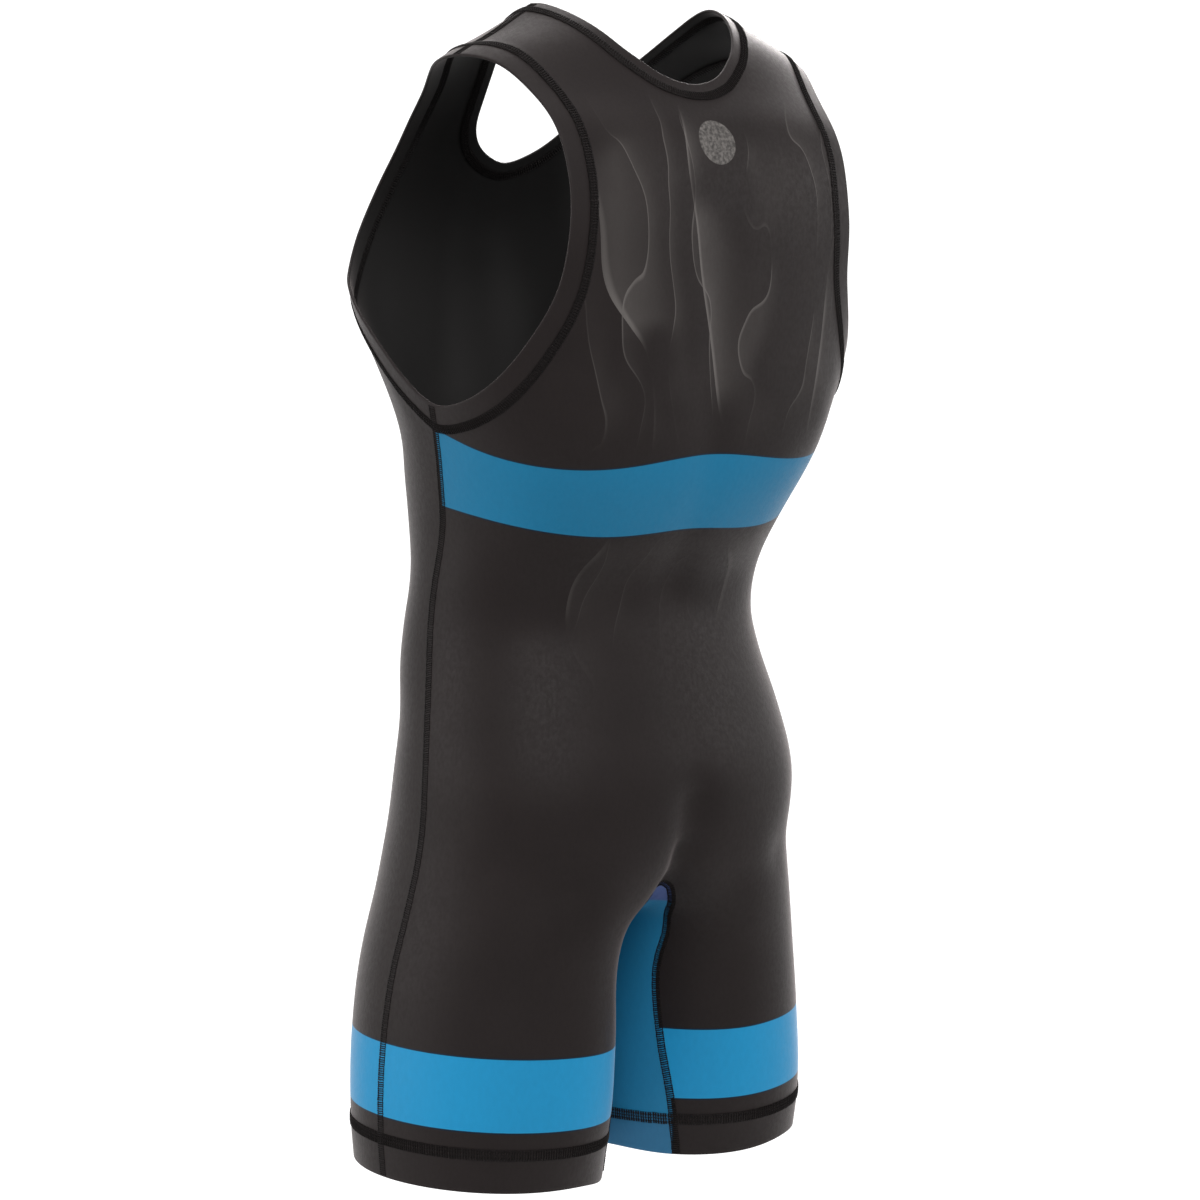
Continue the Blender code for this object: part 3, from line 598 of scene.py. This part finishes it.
def smoke_share(points):
    """How strongly the smoke print shows: over the shoulder blades, and a little below."""
    x, _, z = (points / MM).T
    upper, lower = (
        fade(z, *below) * fade(z, *above) for below, above in (SMOKE_UPPER, SMOKE_LOWER))
    return (upper + SMOKE_LOWER_SHARE * lower) * fade(abs(x), *SMOKE_SIDES)


# %% Storing the numbers at the vertices
FAR_OFF = 12.0                          # mm; further from an edge the number isn't needed
PATCH = (0.0, 102.5, -101.0)            # a plain round mark below the back of the neck
PATCH_RADIUS = 17.0
CROTCH_FADE = -660.5                    # above this level the gusset's blue turns to violet


def mark(piece, name, values):
    """Store one number for each vertex, cut off where it is far from nought."""
    layer = piece.data.attributes.new(name, "FLOAT", "POINT")
    layer.data.foreach_set("value", np.clip(values, -FAR_OFF, FAR_OFF))


for name, piece in sheets.items():
    points = places(piece)
    blue = np.full(len(points), -FAR_OFF)
    if name in ("back_cloth", "front_cloth"):
        blue = inside_leg_band(points)
    if name == "back_cloth":
        blue = np.maximum(blue, inside_chest_band(points))
    if name == "gusset_cloth":
        blue = np.full(len(points), FAR_OFF)
    if name.startswith("hem"):
        blue = inside_gusset(points)
    mark(piece, "blue", blue)
    inner_leg = name == "gusset_cloth" or name.startswith("hem")
    mark(piece, "inner_leg", np.full(len(points), float(inner_leg)))
    behind = name == "back_cloth"
    mark(piece, "smoke", smoke_share(points) if behind else 0 * blue)
    mark(piece, "crotch", points[:, 2] / MM - CROTCH_FADE)
    mark(piece, "patch", PATCH_RADIUS - np.linalg.norm(points / MM - PATCH, axis=1))
    print(name, "is blue on", int((blue > 0).mean() * 100), "% of its points")

# %% [markdown]
# ## Cloth finishes
#
# Stretch knit for sport is smooth and close.  It has little gloss, but its fibres catch light at
# a low angle, so the sheen does most of the work near the outline.  The outer face mixes the dyed
# black with the printed blue by the stored number, and the blue is darkened by painted shade on
# the chest band and the inner leg.  Fine columns and rows of loops come from the flat pattern, as
# a bump far too shallow to model.

# %% Node helpers
def new_material(name):
    material = bpy.data.materials.new(name)
    material.use_nodes = True
    tree = material.node_tree
    return material, tree, tree.nodes["Principled BSDF"]


def node(tree, kind, **settings):
    """Add a node; settings name its properties."""
    item = tree.nodes.new(kind)
    for key, value in settings.items():
        setattr(item, key, value)
    return item


def map_range(tree, value, before, after, way="SMOOTHSTEP"):
    """Carry a value from one range of numbers to another."""
    ramp = node(tree, "ShaderNodeMapRange", interpolation_type=way)
    for name, number in zip(("From Min", "From Max", "To Min", "To Max"), before + after):
        ramp.inputs[name].default_value = number
    tree.links.new(value, ramp.inputs["Value"])
    return ramp.outputs[0]


def step_at(tree, value, start, width):
    """Nought below start, one above start + width."""
    return map_range(tree, value, (start, start + width), (0.0, 1.0))


def mix_colours(tree, share, first, second):
    """Mix two colours; each may be a colour or a socket."""
    mixer = node(tree, "ShaderNodeMix", data_type="RGBA")
    tree.links.new(share, mixer.inputs[0])
    for socket, colour in ((mixer.inputs[6], first), (mixer.inputs[7], second)):
        if isinstance(colour, tuple):
            socket.default_value = colour
        else:
            tree.links.new(colour, socket)
    return mixer.outputs[2]


def stored(tree, name):
    """A number stored at the vertices."""
    return node(tree, "ShaderNodeAttribute", attribute_name=name).outputs["Fac"]


def sums(tree, operation, first, second):
    """Arithmetic on two sockets or numbers."""
    item = node(tree, "ShaderNodeMath", operation=operation)
    for socket, value in zip(item.inputs, (first, second)):
        if isinstance(value, (int, float)):
            socket.default_value = value
        else:
            tree.links.new(value, socket)
    return item.outputs[0]


def scaled(tree, vector, stretch):
    """The same space, scaled along each axis."""
    mapping = node(tree, "ShaderNodeMapping")
    mapping.inputs["Scale"].default_value = stretch
    tree.links.new(vector, mapping.inputs["Vector"])
    return mapping.outputs[0]


def noise(tree, vector, scale, detail=2.0, stretch=(1.0, 1.0, 1.0)):
    space = scaled(tree, vector, stretch)
    item = node(tree, "ShaderNodeTexNoise")
    item.inputs["Scale"].default_value = scale
    item.inputs["Detail"].default_value = detail
    tree.links.new(space, item.inputs["Vector"])
    return item.outputs[0]


# %% Loops of the knit, and how cloth takes the light
COLUMN_PITCH = 0.9                      # mm between two columns of loops
ROW_PITCH = 0.7                         # mm between two rows of loops
KNIT_DEPTH = 0.03 * MM
WAVE_UNIT = math.tau / 20.0             # the scale at which a wave texture has one band a unit
SHEEN_ROUGHNESS = 0.3
SHEEN_TINT = (0.97, 0.90, 0.89, 1.0)


def knit_bump(tree, shader):
    """Columns and rows of loops from the flat pattern, as bump."""
    cut = node(tree, "ShaderNodeUVMap", uv_map="cut")
    heights = []
    for pitch, way in ((COLUMN_PITCH, "X"), (ROW_PITCH, "Y")):
        wave = node(tree, "ShaderNodeTexWave", bands_direction=way)
        wave.inputs["Scale"].default_value = WAVE_UNIT / pitch
        tree.links.new(cut.outputs[0], wave.inputs["Vector"])
        heights.append(wave.outputs[1])
    loops = sums(tree, "MULTIPLY", *heights)
    bump = node(tree, "ShaderNodeBump")
    bump.inputs["Distance"].default_value = KNIT_DEPTH
    tree.links.new(loops, bump.inputs["Height"])
    tree.links.new(bump.outputs[0], shader.inputs["Normal"])


def finish_cloth(shader, specular, sheen, roughness):
    shader.inputs["Roughness"].default_value = roughness
    shader.inputs["Specular IOR Level"].default_value = specular
    shader.inputs["Sheen Weight"].default_value = sheen
    shader.inputs["Sheen Roughness"].default_value = SHEEN_ROUGHNESS
    shader.inputs["Sheen Tint"].default_value = SHEEN_TINT


# %% Smoke print
SMOKE_STRETCH = (1.0, 1.0, 0.45)
SMOKE_WAVE = {"Detail": 1.6, "Detail Scale": 1.8}
SMOKE_STREAMS = [
    # scale, distortion, share of the thin rim, share of the haze
    (3.4, 8.0, 0.62, 0.38),
    (8.0, 12.0, 0.48, 0.18),
]
HAZE_POWER = 3.0
RIM_STEP = (0.955, 0.035)               # the thin bright rim of a veil: start and width
VEIL_NOISE = {"scale": 12.0, "detail": 1.0}
VEIL_STEP = (0.36, 0.20)


def smoke(tree, space):
    """Veils of smoke: each swells slowly to a thin bright rim and then breaks off."""
    stretched = scaled(tree, space, SMOKE_STRETCH)
    patchy = step_at(tree, noise(tree, space, **VEIL_NOISE), *VEIL_STEP)
    layers = []
    for scale, twist, rim_share, haze_share in SMOKE_STREAMS:
        stream = node(tree, "ShaderNodeTexWave", bands_direction="X", wave_profile="SAW")
        for name, value in {"Scale": scale, "Distortion": twist, **SMOKE_WAVE}.items():
            stream.inputs[name].default_value = value
        tree.links.new(stretched, stream.inputs["Vector"])
        height = stream.outputs[1]
        rim = sums(tree, "MULTIPLY", step_at(tree, height, *RIM_STEP), rim_share)
        haze = sums(tree, "MULTIPLY", sums(tree, "POWER", height, HAZE_POWER), haze_share)
        layers.append(sums(tree, "ADD", rim, haze))
    both = sums(tree, "MULTIPLY", sums(tree, "ADD", *layers), patchy)
    return sums(tree, "MULTIPLY", both, stored(tree, "smoke"))


# %% Colours of the outer face
BLACK = (0.0088, 0.0059, 0.0058, 1.0)
BLACK_WORN = (0.0138, 0.0098, 0.0096, 1.0)
SMOKE = (0.120, 0.112, 0.107, 1.0)
PATCH_DARK = (0.045, 0.043, 0.041, 1.0)
PATCH_LIGHT = (0.150, 0.142, 0.135, 1.0)
NAVY = (0.0025, 0.010, 0.022, 1.0)
LEG_BLUE = (0.009, 0.262, 0.520, 1.0)
# painted shade: the chest band faces a little downwards, so its blue is darker than the leg band's
SHADED_CHEST_BLUE = (0.005, 0.170, 0.330, 1.0)
# the gusset's deeper blue is partly its own dye and partly painted shade between the legs; its
# stretch of the hems is darker still, as painted shade
GUSSET_DYE_AND_SHADE = (0.014, 0.182, 0.350, 1.0)
SHADED_GUSSET_HEM_BLUE = (0.024, 0.140, 0.270, 1.0)
CROTCH_VIOLET = (0.062, 0.100, 0.260, 1.0)
INK_SOFTNESS = 0.5                      # mm over which one ink gives way to the next
VIOLET_SOFTNESS = 1.5                   # mm
DYE_NOISE = {"scale": 22.0}
MOTTLE_NOISE = {"scale": 420.0, "detail": 5.0}
MOTTLE_STEP = (0.30, 0.40)              # each step is a start and a width, in m for levels
# above this level the blue takes the darker chest tone of painted shade
LEG_TO_CHEST = (-0.60, 0.1)
# below this level the inner leg takes the darker blue of painted shade
HEM_TO_GUSSET = (-0.829, 0.002)


def dyed_black(tree, space):
    """Worn black with the smoke and the plain patch."""
    black = mix_colours(tree, noise(tree, space, **DYE_NOISE), BLACK, BLACK_WORN)
    black = mix_colours(tree, smoke(tree, space), black, SMOKE)
    mottled = step_at(tree, noise(tree, space, **MOTTLE_NOISE), *MOTTLE_STEP)
    mottle = mix_colours(tree, mottled, PATCH_DARK, PATCH_LIGHT)
    patched = step_at(tree, stored(tree, "patch"), 0.0, INK_SOFTNESS)
    return mix_colours(tree, patched, black, mottle)


def blue_print_and_shade(tree, space):
    """The blue of the bands, and on the inner leg that of the gusset, with painted shade darkening
    the chest band and the inner leg.
    """
    split = node(tree, "ShaderNodeSeparateXYZ")
    tree.links.new(space, split.inputs[0])
    level = split.outputs[2]
    blue = mix_colours(tree, step_at(tree, level, *LEG_TO_CHEST), LEG_BLUE, SHADED_CHEST_BLUE)
    inner = mix_colours(tree, step_at(tree, level, *HEM_TO_GUSSET), SHADED_GUSSET_HEM_BLUE, GUSSET_DYE_AND_SHADE)
    violet_top = step_at(tree, stored(tree, "crotch"), 0.0, VIOLET_SOFTNESS)
    inner = mix_colours(tree, violet_top, inner, CROTCH_VIOLET)
    return mix_colours(tree, stored(tree, "inner_leg"), blue, inner)


# %% Outer cloth
INK_LINE = 1.3                          # mm of navy outline round a band
GRAIN = (0.86, 0.86, 0.86, 1.0)
GRAIN_NOISE = {"scale": 300.0, "detail": 6.0, "stretch": (1.0, 1.0, 0.5)}
DULL_NOISE = {"scale": 420.0, "detail": 3.0, "stretch": (1.0, 1.0, 0.6)}
DULL_BETWEEN = (0.35, 0.65)             # this range of the noise gives this range of roughness
DULL_ROUGHNESS = (0.52, 0.62)


def make_outer_cloth():
    """Dyed black knit with its prints."""
    material, tree, shader = new_material("outer_knit")
    space = node(tree, "ShaderNodeTexCoord").outputs["Object"]
    black, blue = dyed_black(tree, space), blue_print_and_shade(tree, space)
    edge = stored(tree, "blue")
    lined = mix_colours(tree, step_at(tree, edge, -INK_LINE, INK_SOFTNESS), black, NAVY)
    inked = mix_colours(tree, step_at(tree, edge, 0.0, INK_SOFTNESS), lined, blue)
    grain = node(tree, "ShaderNodeMix", data_type="RGBA", blend_type="MULTIPLY")
    tree.links.new(noise(tree, space, **GRAIN_NOISE), grain.inputs[0])
    tree.links.new(inked, grain.inputs[6])
    grain.inputs[7].default_value = GRAIN
    tree.links.new(grain.outputs[2], shader.inputs["Base Color"])
    finish_cloth(shader, specular=0.22, sheen=0.25, roughness=0.57)
    dull = map_range(
        tree, noise(tree, space, **DULL_NOISE), DULL_BETWEEN, DULL_ROUGHNESS, way="LINEAR")
    tree.links.new(dull, shader.inputs["Roughness"])
    knit_bump(tree, shader)
    return material


outer_knit = make_outer_cloth()
print("outer face:", outer_knit.name)

# %% Inner cloth
# painted light and shade on the inside: noise patches mix the black with a lighter black
INNER_BLACK = (0.0038, 0.0038, 0.0038, 1.0)
INNER_BLACK_PAINTED_LIGHT = (0.0150, 0.0150, 0.0150, 1.0)
CLOUD_NOISE = {"scale": 10.0, "detail": 1.0, "stretch": (1.0, 1.0, 0.4)}
CLOUD_STEP = (0.36, 0.28)


def make_inner_cloth():
    """The reverse of the knit, a deeper and duller black, with patches of painted light and shade.
    """
    material, tree, shader = new_material("inner_knit")
    space = node(tree, "ShaderNodeTexCoord").outputs["Object"]
    painted_light_patches = step_at(tree, noise(tree, space, **CLOUD_NOISE), *CLOUD_STEP)
    black = mix_colours(tree, painted_light_patches, INNER_BLACK, INNER_BLACK_PAINTED_LIGHT)
    tree.links.new(black, shader.inputs["Base Color"])
    finish_cloth(shader, specular=0.16, sheen=0.20, roughness=0.65)
    knit_bump(tree, shader)
    return material


inner_knit = make_inner_cloth()
print("inner face:", inner_knit.name)

# %% [markdown]
# ## Giving the cloth its thickness
#
# Solidify turns each sheet into real cloth: it grows inwards, so the outer face keeps its place.
# Its inner face takes the second material.  The turned edges are two layers thick, and a bevel
# rounds their fold.

# %% Thickness
ONE_LAYER = 1.3 * MM
TWO_LAYERS = 2.2 * MM
FOLD_ROUNDING = 0.9 * MM
FOLD_STEPS = 3


def thicken(piece):
    turned = "turning" in piece.name
    piece.data.materials.append(outer_knit)
    piece.data.materials.append(inner_knit)
    wall = piece.modifiers.new("wall", "SOLIDIFY")
    wall.thickness = TWO_LAYERS if turned else ONE_LAYER
    wall.offset = -1.0
    wall.use_even_offset = True
    wall.material_offset = 1
    wall.material_offset_rim = 0
    only(piece)
    bpy.ops.object.modifier_apply(modifier="wall")
    if turned:
        fold = piece.modifiers.new("fold", "BEVEL")
        fold.width = FOLD_ROUNDING
        fold.segments = FOLD_STEPS
        fold.limit_method = "ANGLE"
        fold.angle_limit = RIM_ANGLE
        bpy.ops.object.modifier_apply(modifier="fold")
    bpy.ops.object.shade_smooth_by_angle(angle=RIM_ANGLE)
    print(piece.name, "cloth has", len(piece.data.polygons), "faces")


# %% [markdown]
# ## Thread
#
# Flatlock joins the panels: two rows of needle thread with a ladder of cover thread between them.
# The turned edges are held by a wider coverstitch with three rows, which also shows inside.  One
# stitch is modelled from a rod or two and a few beads, and then set down again and again along a
# seam line, each time turned to the cloth's own direction and slope.

# %% One stitch
ROD_SIDES = 4
ROD_CUTS = 2
BEAD_SIDES = 5
BEAD_RINGS = 3
BEAD_LENGTH = 1.2                       # in pitches
BEAD_WIDTH = 3.0                        # in radii of the thread
BEAD_HEIGHT = 2.0
BEAD_LEAN = 0.2


def rod(length, radius, lean, rise):
    """A thread across the seam, raised in its middle."""
    bpy.ops.mesh.primitive_cylinder_add(
        vertices=ROD_SIDES, radius=radius, depth=length, end_fill_type="NOTHING",
        rotation=(math.pi / 2, 0.0, lean))
    item = bpy.context.object
    bpy.ops.object.transform_apply(location=True, rotation=True, scale=True)
    points = places(item)
    long_edges = [
        edge.index for edge in item.data.edges
        if np.linalg.norm(points[edge.vertices[0]] - points[edge.vertices[1]]) > length / 2]
    bpy.ops.object.mode_set(mode="EDIT")
    bpy.ops.mesh.select_mode(type="EDGE")
    bpy.ops.mesh.select_all(action="DESELECT")
    bpy.ops.object.mode_set(mode="OBJECT")
    for index in long_edges:
        item.data.edges[index].select = True
    bpy.ops.object.mode_set(mode="EDIT")
    bpy.ops.mesh.subdivide(number_cuts=ROD_CUTS)
    bpy.ops.object.mode_set(mode="OBJECT")
    points = places(item)
    points[:, 2] += rise * (1 - (2 * points[:, 1] / length) ** 2)
    put_places(item, points)
    return item


def bead(length, width, height, side, lean):
    """One short stitch of needle thread, lying along the seam."""
    bpy.ops.mesh.primitive_uv_sphere_add(
        segments=BEAD_SIDES, ring_count=BEAD_RINGS, radius=0.5, location=(0.0, side, 0.0),
        rotation=(0.0, math.pi / 2, lean), scale=(height, width, length))
    item = bpy.context.object
    bpy.ops.object.transform_apply(location=True, rotation=True, scale=True)
    return item


def one_stitch(name, width, pitch, rungs, rows, thread):
    """Rungs across the seam and beads in rows along it, as points and faces."""
    size = (pitch * BEAD_LENGTH, thread * BEAD_WIDTH, thread * BEAD_HEIGHT)
    parts = [bead(*size, row, BEAD_LEAN) for row in rows]
    parts += [rod(width, thread, lean, thread) for lean in rungs]
    only(*parts)
    bpy.ops.object.join()
    item = bpy.context.object
    points = places(item)
    faces = [tuple(face.vertices) for face in item.data.polygons]
    bpy.data.objects.remove(item, do_unlink=True)
    print(name, "stitch:", len(points), "points")
    return {"points": points, "faces": faces, "pitch": pitch}


FLATLOCK = one_stitch(
    "flatlock", width=6.4 * MM, pitch=1.65 * MM, thread=0.38 * MM,
    rungs=(0.10,), rows=(-2.7 * MM, 2.7 * MM))
EDGE_STITCH = one_stitch(
    "edge coverstitch", width=7.0 * MM, pitch=1.95 * MM, thread=0.34 * MM,
    rungs=(-0.08, 0.20), rows=(-2.3 * MM, 0.1 * MM, 2.4 * MM))
HEM_STITCH = one_stitch(
    "hem coverstitch", width=8.6 * MM, pitch=2.0 * MM, thread=0.34 * MM,
    rungs=(-0.06, 0.14), rows=(-2.2 * MM, 0.2 * MM, 2.5 * MM))

# %% Sewing along a line
SMOOTHING = 2
LOOSENESS = (0.10 * MM, 0.10 * MM, 0.06 * MM)   # how unevenly stitches sit: along, across, up
LOOSE_SEED = 7
LOOSE_ARM = 2 * MM                      # a stitch moved on by this much would lean by 45 degrees


def evenly(points, normals, ring, pitch):
    """Places, directions and normals at even steps along a line."""
    if ring:
        points, normals = np.r_[points, points[:1]], np.r_[normals, normals[:1]]
    run = np.r_[0.0, np.cumsum(np.linalg.norm(np.diff(points, axis=0), axis=1))]
    count = max(int(round(run[-1] / pitch)), 2)
    where = (np.arange(count) + 0.5) * run[-1] / count
    spot = np.stack([np.interp(where, run, points[:, i]) for i in range(3)], axis=1)
    up = np.stack([np.interp(where, run, normals[:, i]) for i in range(3)], axis=1)
    ahead = np.gradient(spot, axis=0)
    for _ in range(SMOOTHING):
        ahead[1:-1] = (ahead[:-2] + 2 * ahead[1:-1] + ahead[2:]) / 4
    up /= np.linalg.norm(up, axis=1, keepdims=True)
    ahead -= up * (ahead * up).sum(axis=1, keepdims=True)
    ahead /= np.linalg.norm(ahead, axis=1, keepdims=True)
    return spot, ahead, up


def stitch_points(stitch, line, lift, under=False):
    """The stitch's points, once for every place on a line."""
    spot, ahead, up = evenly(*line, stitch["pitch"])
    if under:
        up = -up
    aside = np.cross(up, ahead)
    loose = np.random.default_rng(LOOSE_SEED).normal(0, LOOSENESS, (len(spot), 3))
    spot = spot + ahead * loose[:, :1] + aside * loose[:, 1:2] + up * abs(loose[:, 2:])
    ahead = ahead + aside * loose[:, :1] / LOOSE_ARM
    x, y, z = stitch["points"].T
    return (spot[:, None] + up[:, None] * (z + lift)[None, :, None]
            + ahead[:, None] * x[None, :, None] + aside[:, None] * y[None, :, None]).reshape(-1, 3)


def sew_thread(name, stitch, runs):
    """One piece of thread; runs are (line, lift, under)."""
    points = np.concatenate([stitch_points(stitch, *run) for run in runs])
    size = len(stitch["points"])
    faces = [tuple(index + start for index in face)
             for start in range(0, len(points), size) for face in stitch["faces"]]
    mesh = bpy.data.meshes.new(name)
    mesh.from_pydata(points.tolist(), [], faces)
    piece = bpy.data.objects.new(name, mesh)
    bpy.context.scene.collection.objects.link(piece)
    mesh.materials.append(thread_material)
    only(piece)
    bpy.ops.object.shade_smooth()
    print(f"{name}: {len(points) // size} stitches, {len(faces)} faces")
    return piece


# %% The thread's finish
THREAD_NOISE = {"scale": 400.0}
THREAD = (0.0032, 0.0026, 0.0026, 1.0)
THREAD_WORN = (0.0100, 0.0082, 0.0080, 1.0)


def make_thread():
    material, tree, shader = new_material("black_thread")
    space = node(tree, "ShaderNodeTexCoord").outputs["Object"]
    colour = mix_colours(tree, noise(tree, space, **THREAD_NOISE), THREAD, THREAD_WORN)
    tree.links.new(colour, shader.inputs["Base Color"])
    finish_cloth(shader, specular=0.14, sheen=0.05, roughness=0.6)
    return material


thread_material = make_thread()
print("thread:", thread_material.name)

# %% Lines beside and beyond a seam
CARRY_STEP = 2.0 * MM


def carry_on(line, sheet, distance):
    """Lengthen an open line at its end, straight on over the next sheet."""
    points, normals, ring = line
    surface = surface_of(sheet)
    spot = Vector(points[-1])
    way = (spot - Vector(points[-3])).normalized()
    more, ups = [], []
    for _ in range(int(round(distance / CARRY_STEP))):
        found, up, _, _ = surface.find_nearest(spot + way * CARRY_STEP)
        way = (found - spot).normalized()
        spot = found
        more.append(tuple(spot))
        ups.append(tuple(up))
    return np.r_[points, more], np.r_[normals, ups], ring


def reversed_line(line):
    return line[0][::-1], line[1][::-1], line[2]


def beside(line, sheet, distance):
    """Move a ring sideways over a sheet, towards the sheet's own side."""
    points, normals, ring = line
    surface = surface_of(sheet)
    ahead = np.roll(points, -1, axis=0) - np.roll(points, 1, axis=0)
    aside = np.cross(normals, ahead)
    aside /= np.linalg.norm(aside, axis=1, keepdims=True)
    trial = [surface.find_nearest(Vector(p + a * distance))[3] for p, a in zip(points, aside)]
    back = [surface.find_nearest(Vector(p - a * distance))[3] for p, a in zip(points, aside)]
    if sum(back) < sum(trial):
        aside = -aside
    found = [surface.find_nearest(Vector(p + a * distance)) for p, a in zip(points, aside)]
    return (np.array([tuple(item[0]) for item in found]),
            np.array([tuple(item[1]) for item in found]), ring)


# %% Flatlock seams
HEM_DEEP = 30.0 * MM                    # how far thread runs on over a turned edge
ARMHOLE_DEEP = 20.0 * MM
NECK_DEEP = 13.0 * MM
LIFT = 0.05 * MM                        # how far a stitch lies off the cloth
SHOULDER_LEVEL = CROTCH / 2             # a seam whose middle lies higher crosses a strap
threads = []


def side_of(points):
    return "left" if points[:, 0].mean() > 0 else "right"


def downwards(line):
    return line if line[0][0, 2] > line[0][-1, 2] else reversed_line(line)


for line in seam_lines(sheets["back_cloth"], [sheets["front_cloth"]]):
    side = side_of(line[0])
    hole = sheets["armhole_turning_" + side]
    if line[0][:, 2].mean() < SHOULDER_LEVEL:
        line = carry_on(downwards(line), sheets["hem_turning_" + side], HEM_DEEP)
        line = carry_on(reversed_line(line), hole, ARMHOLE_DEEP)
        threads.append(sew_thread("side_flatlock_" + side, FLATLOCK, [(line, LIFT)]))
    else:
        if abs(line[0][0, 0]) > abs(line[0][-1, 0]):
            line = reversed_line(line)
        line = carry_on(line, hole, ARMHOLE_DEEP)
        line = carry_on(reversed_line(line), sheets["neck_turning"], NECK_DEEP)
        threads.append(sew_thread("shoulder_flatlock_" + side, FLATLOCK, [(line, LIFT)]))

for line, place in zip(gusset_seams, ("behind", "before")):
    for _ in range(2):
        side = "left" if line[0][-1, 0] > 0 else "right"
        line = reversed_line(carry_on(line, sheets["hem_turning_" + side], HEM_DEEP))
    threads.append(sew_thread("gusset_flatlock_" + place, FLATLOCK, [(line, LIFT)]))

# %% Coverstitched edges
EDGE_LIFT = LIFT * 3
ARMHOLE_ROW = 2.6 * MM                  # from the seam to the middle of the stitching
NECK_ROW = 3.3 * MM
HEM_ROW = 1.4 * MM
EDGES = {
    "neck": ("neck_turning", NECK_ROW),
    "armhole_left": ("armhole_turning_left", ARMHOLE_ROW),
    "armhole_right": ("armhole_turning_right", ARMHOLE_ROW),
    "hem_left": ("hem_turning_left", HEM_ROW),
    "hem_right": ("hem_turning_right", HEM_ROW),
}
for name, (sheet, row) in EDGES.items():
    line = seam_lines(sheets[sheet], PANELS + [sheets["gusset_cloth"]])[0]
    line = beside(line, sheets[sheet], row)
    inside = line[0] - line[1] * TWO_LAYERS, line[1], True
    stitch = HEM_STITCH if name.startswith("hem") else EDGE_STITCH
    threads.append(sew_thread(
        name + "_coverstitch", stitch, [(line, EDGE_LIFT), (inside, LIFT, True)]))

# %% The sheets get their thickness last, when their borders have been read
for piece in sheets.values():
    thicken(piece)

# %% [markdown]
# ## Studio
#
# Black cloth needs light from behind it.  A white backdrop faces the camera and brightens the
# edges of the cloth, and the rest of the room is dimmer.  Large soft lamps give the back its form,
# the two strongest high behind the wearer and high in front of the far shoulder.  The floor is
# plain and pale.

# %% Floor and light
FLOOR_LEVEL = -1.3
FLOOR_RADIUS = 1.25
FLOOR_SIDES = 96
FLOOR_GREY = (0.6, 0.6, 0.6, 1.0)
FLOOR_ROUGHNESS = 0.9
BACKDROP = 1.30                         # light from straight ahead of the camera
ROOM = 0.41                             # light from everywhere else
BACKDROP_EDGE = (0.25, 0.85)            # cosines between which the one passes into the other
LAMP_TINT = (1.0, 0.955, 0.945)
LAMPS = [
    # name, place, size, power
    ("back_softbox", (1.35, 2.25, 1.6), 2.1, 72.0),
    ("left_softbox", (2.7, -1.3, 0.0), 2.2, 43.0),
    ("right_softbox", (-2.4, 1.6, 0.3), 1.3, 24.0),
    ("rim_softbox", (-1.7, -1.2, 1.1), 1.2, 72.0),
    ("overhead_softbox", (-0.3, -0.7, 2.2), 1.6, 30.0),
]


def make_floor():
    bpy.ops.mesh.primitive_circle_add(
        vertices=FLOOR_SIDES, radius=FLOOR_RADIUS, fill_type="NGON",
        location=(0.0, 0.0, FLOOR_LEVEL))
    floor = bpy.context.object
    floor.name = "studio_floor"
    material, _, shader = new_material("pale_floor")
    shader.inputs["Base Color"].default_value = FLOOR_GREY
    shader.inputs["Roughness"].default_value = FLOOR_ROUGHNESS
    shader.inputs["Specular IOR Level"].default_value = 0.0
    floor.data.materials.append(material)


def make_lamp(name, place, size, power):
    bpy.ops.object.light_add(type="AREA", location=place)
    lamp = bpy.context.object
    lamp.name = name
    lamp.data.shape = "DISK"
    lamp.data.size = size
    lamp.data.energy = power
    lamp.data.color = LAMP_TINT
    lamp.rotation_mode = "QUATERNION"
    lamp.rotation_quaternion = (CAMERA_AIM - Vector(place)).to_track_quat("-Z", "Y")


def make_surround():
    """A white backdrop ahead of the camera that passes into a dimmer room."""
    world = bpy.data.worlds.new("studio")
    world.use_nodes = True
    tree = world.node_tree
    way = node(tree, "ShaderNodeTexCoord").outputs["Generated"]
    facing = node(tree, "ShaderNodeVectorMath", operation="DOT_PRODUCT")
    facing.inputs[1].default_value = (CAMERA_AIM - bpy.context.scene.camera.location).normalized()
    tree.links.new(way, facing.inputs[0])
    light = map_range(tree, facing.outputs["Value"], BACKDROP_EDGE, (ROOM, BACKDROP))
    tree.links.new(light, tree.nodes["Background"].inputs["Strength"])
    tree.nodes["Background"].inputs["Color"].default_value = (1.0, 1.0, 1.0, 1.0)
    bpy.context.scene.world = world


make_floor()
make_surround()
for lamp in LAMPS:
    make_lamp(*lamp)
bpy.context.scene.view_settings.view_transform = "Standard"
print("lamps:", len(LAMPS))

# %% [markdown]
# ## Pieces on the body
#
# Every piece rides on the one body, and the wall that gave each sheet of cloth its face is hidden.

# %% Pieces and their places
for name, piece in sheets.items():
    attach(piece, "root")
    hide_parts(NODES[name])
for piece in threads:
    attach(piece, "root")
print("pieces:", len(sheets) + len(threads))
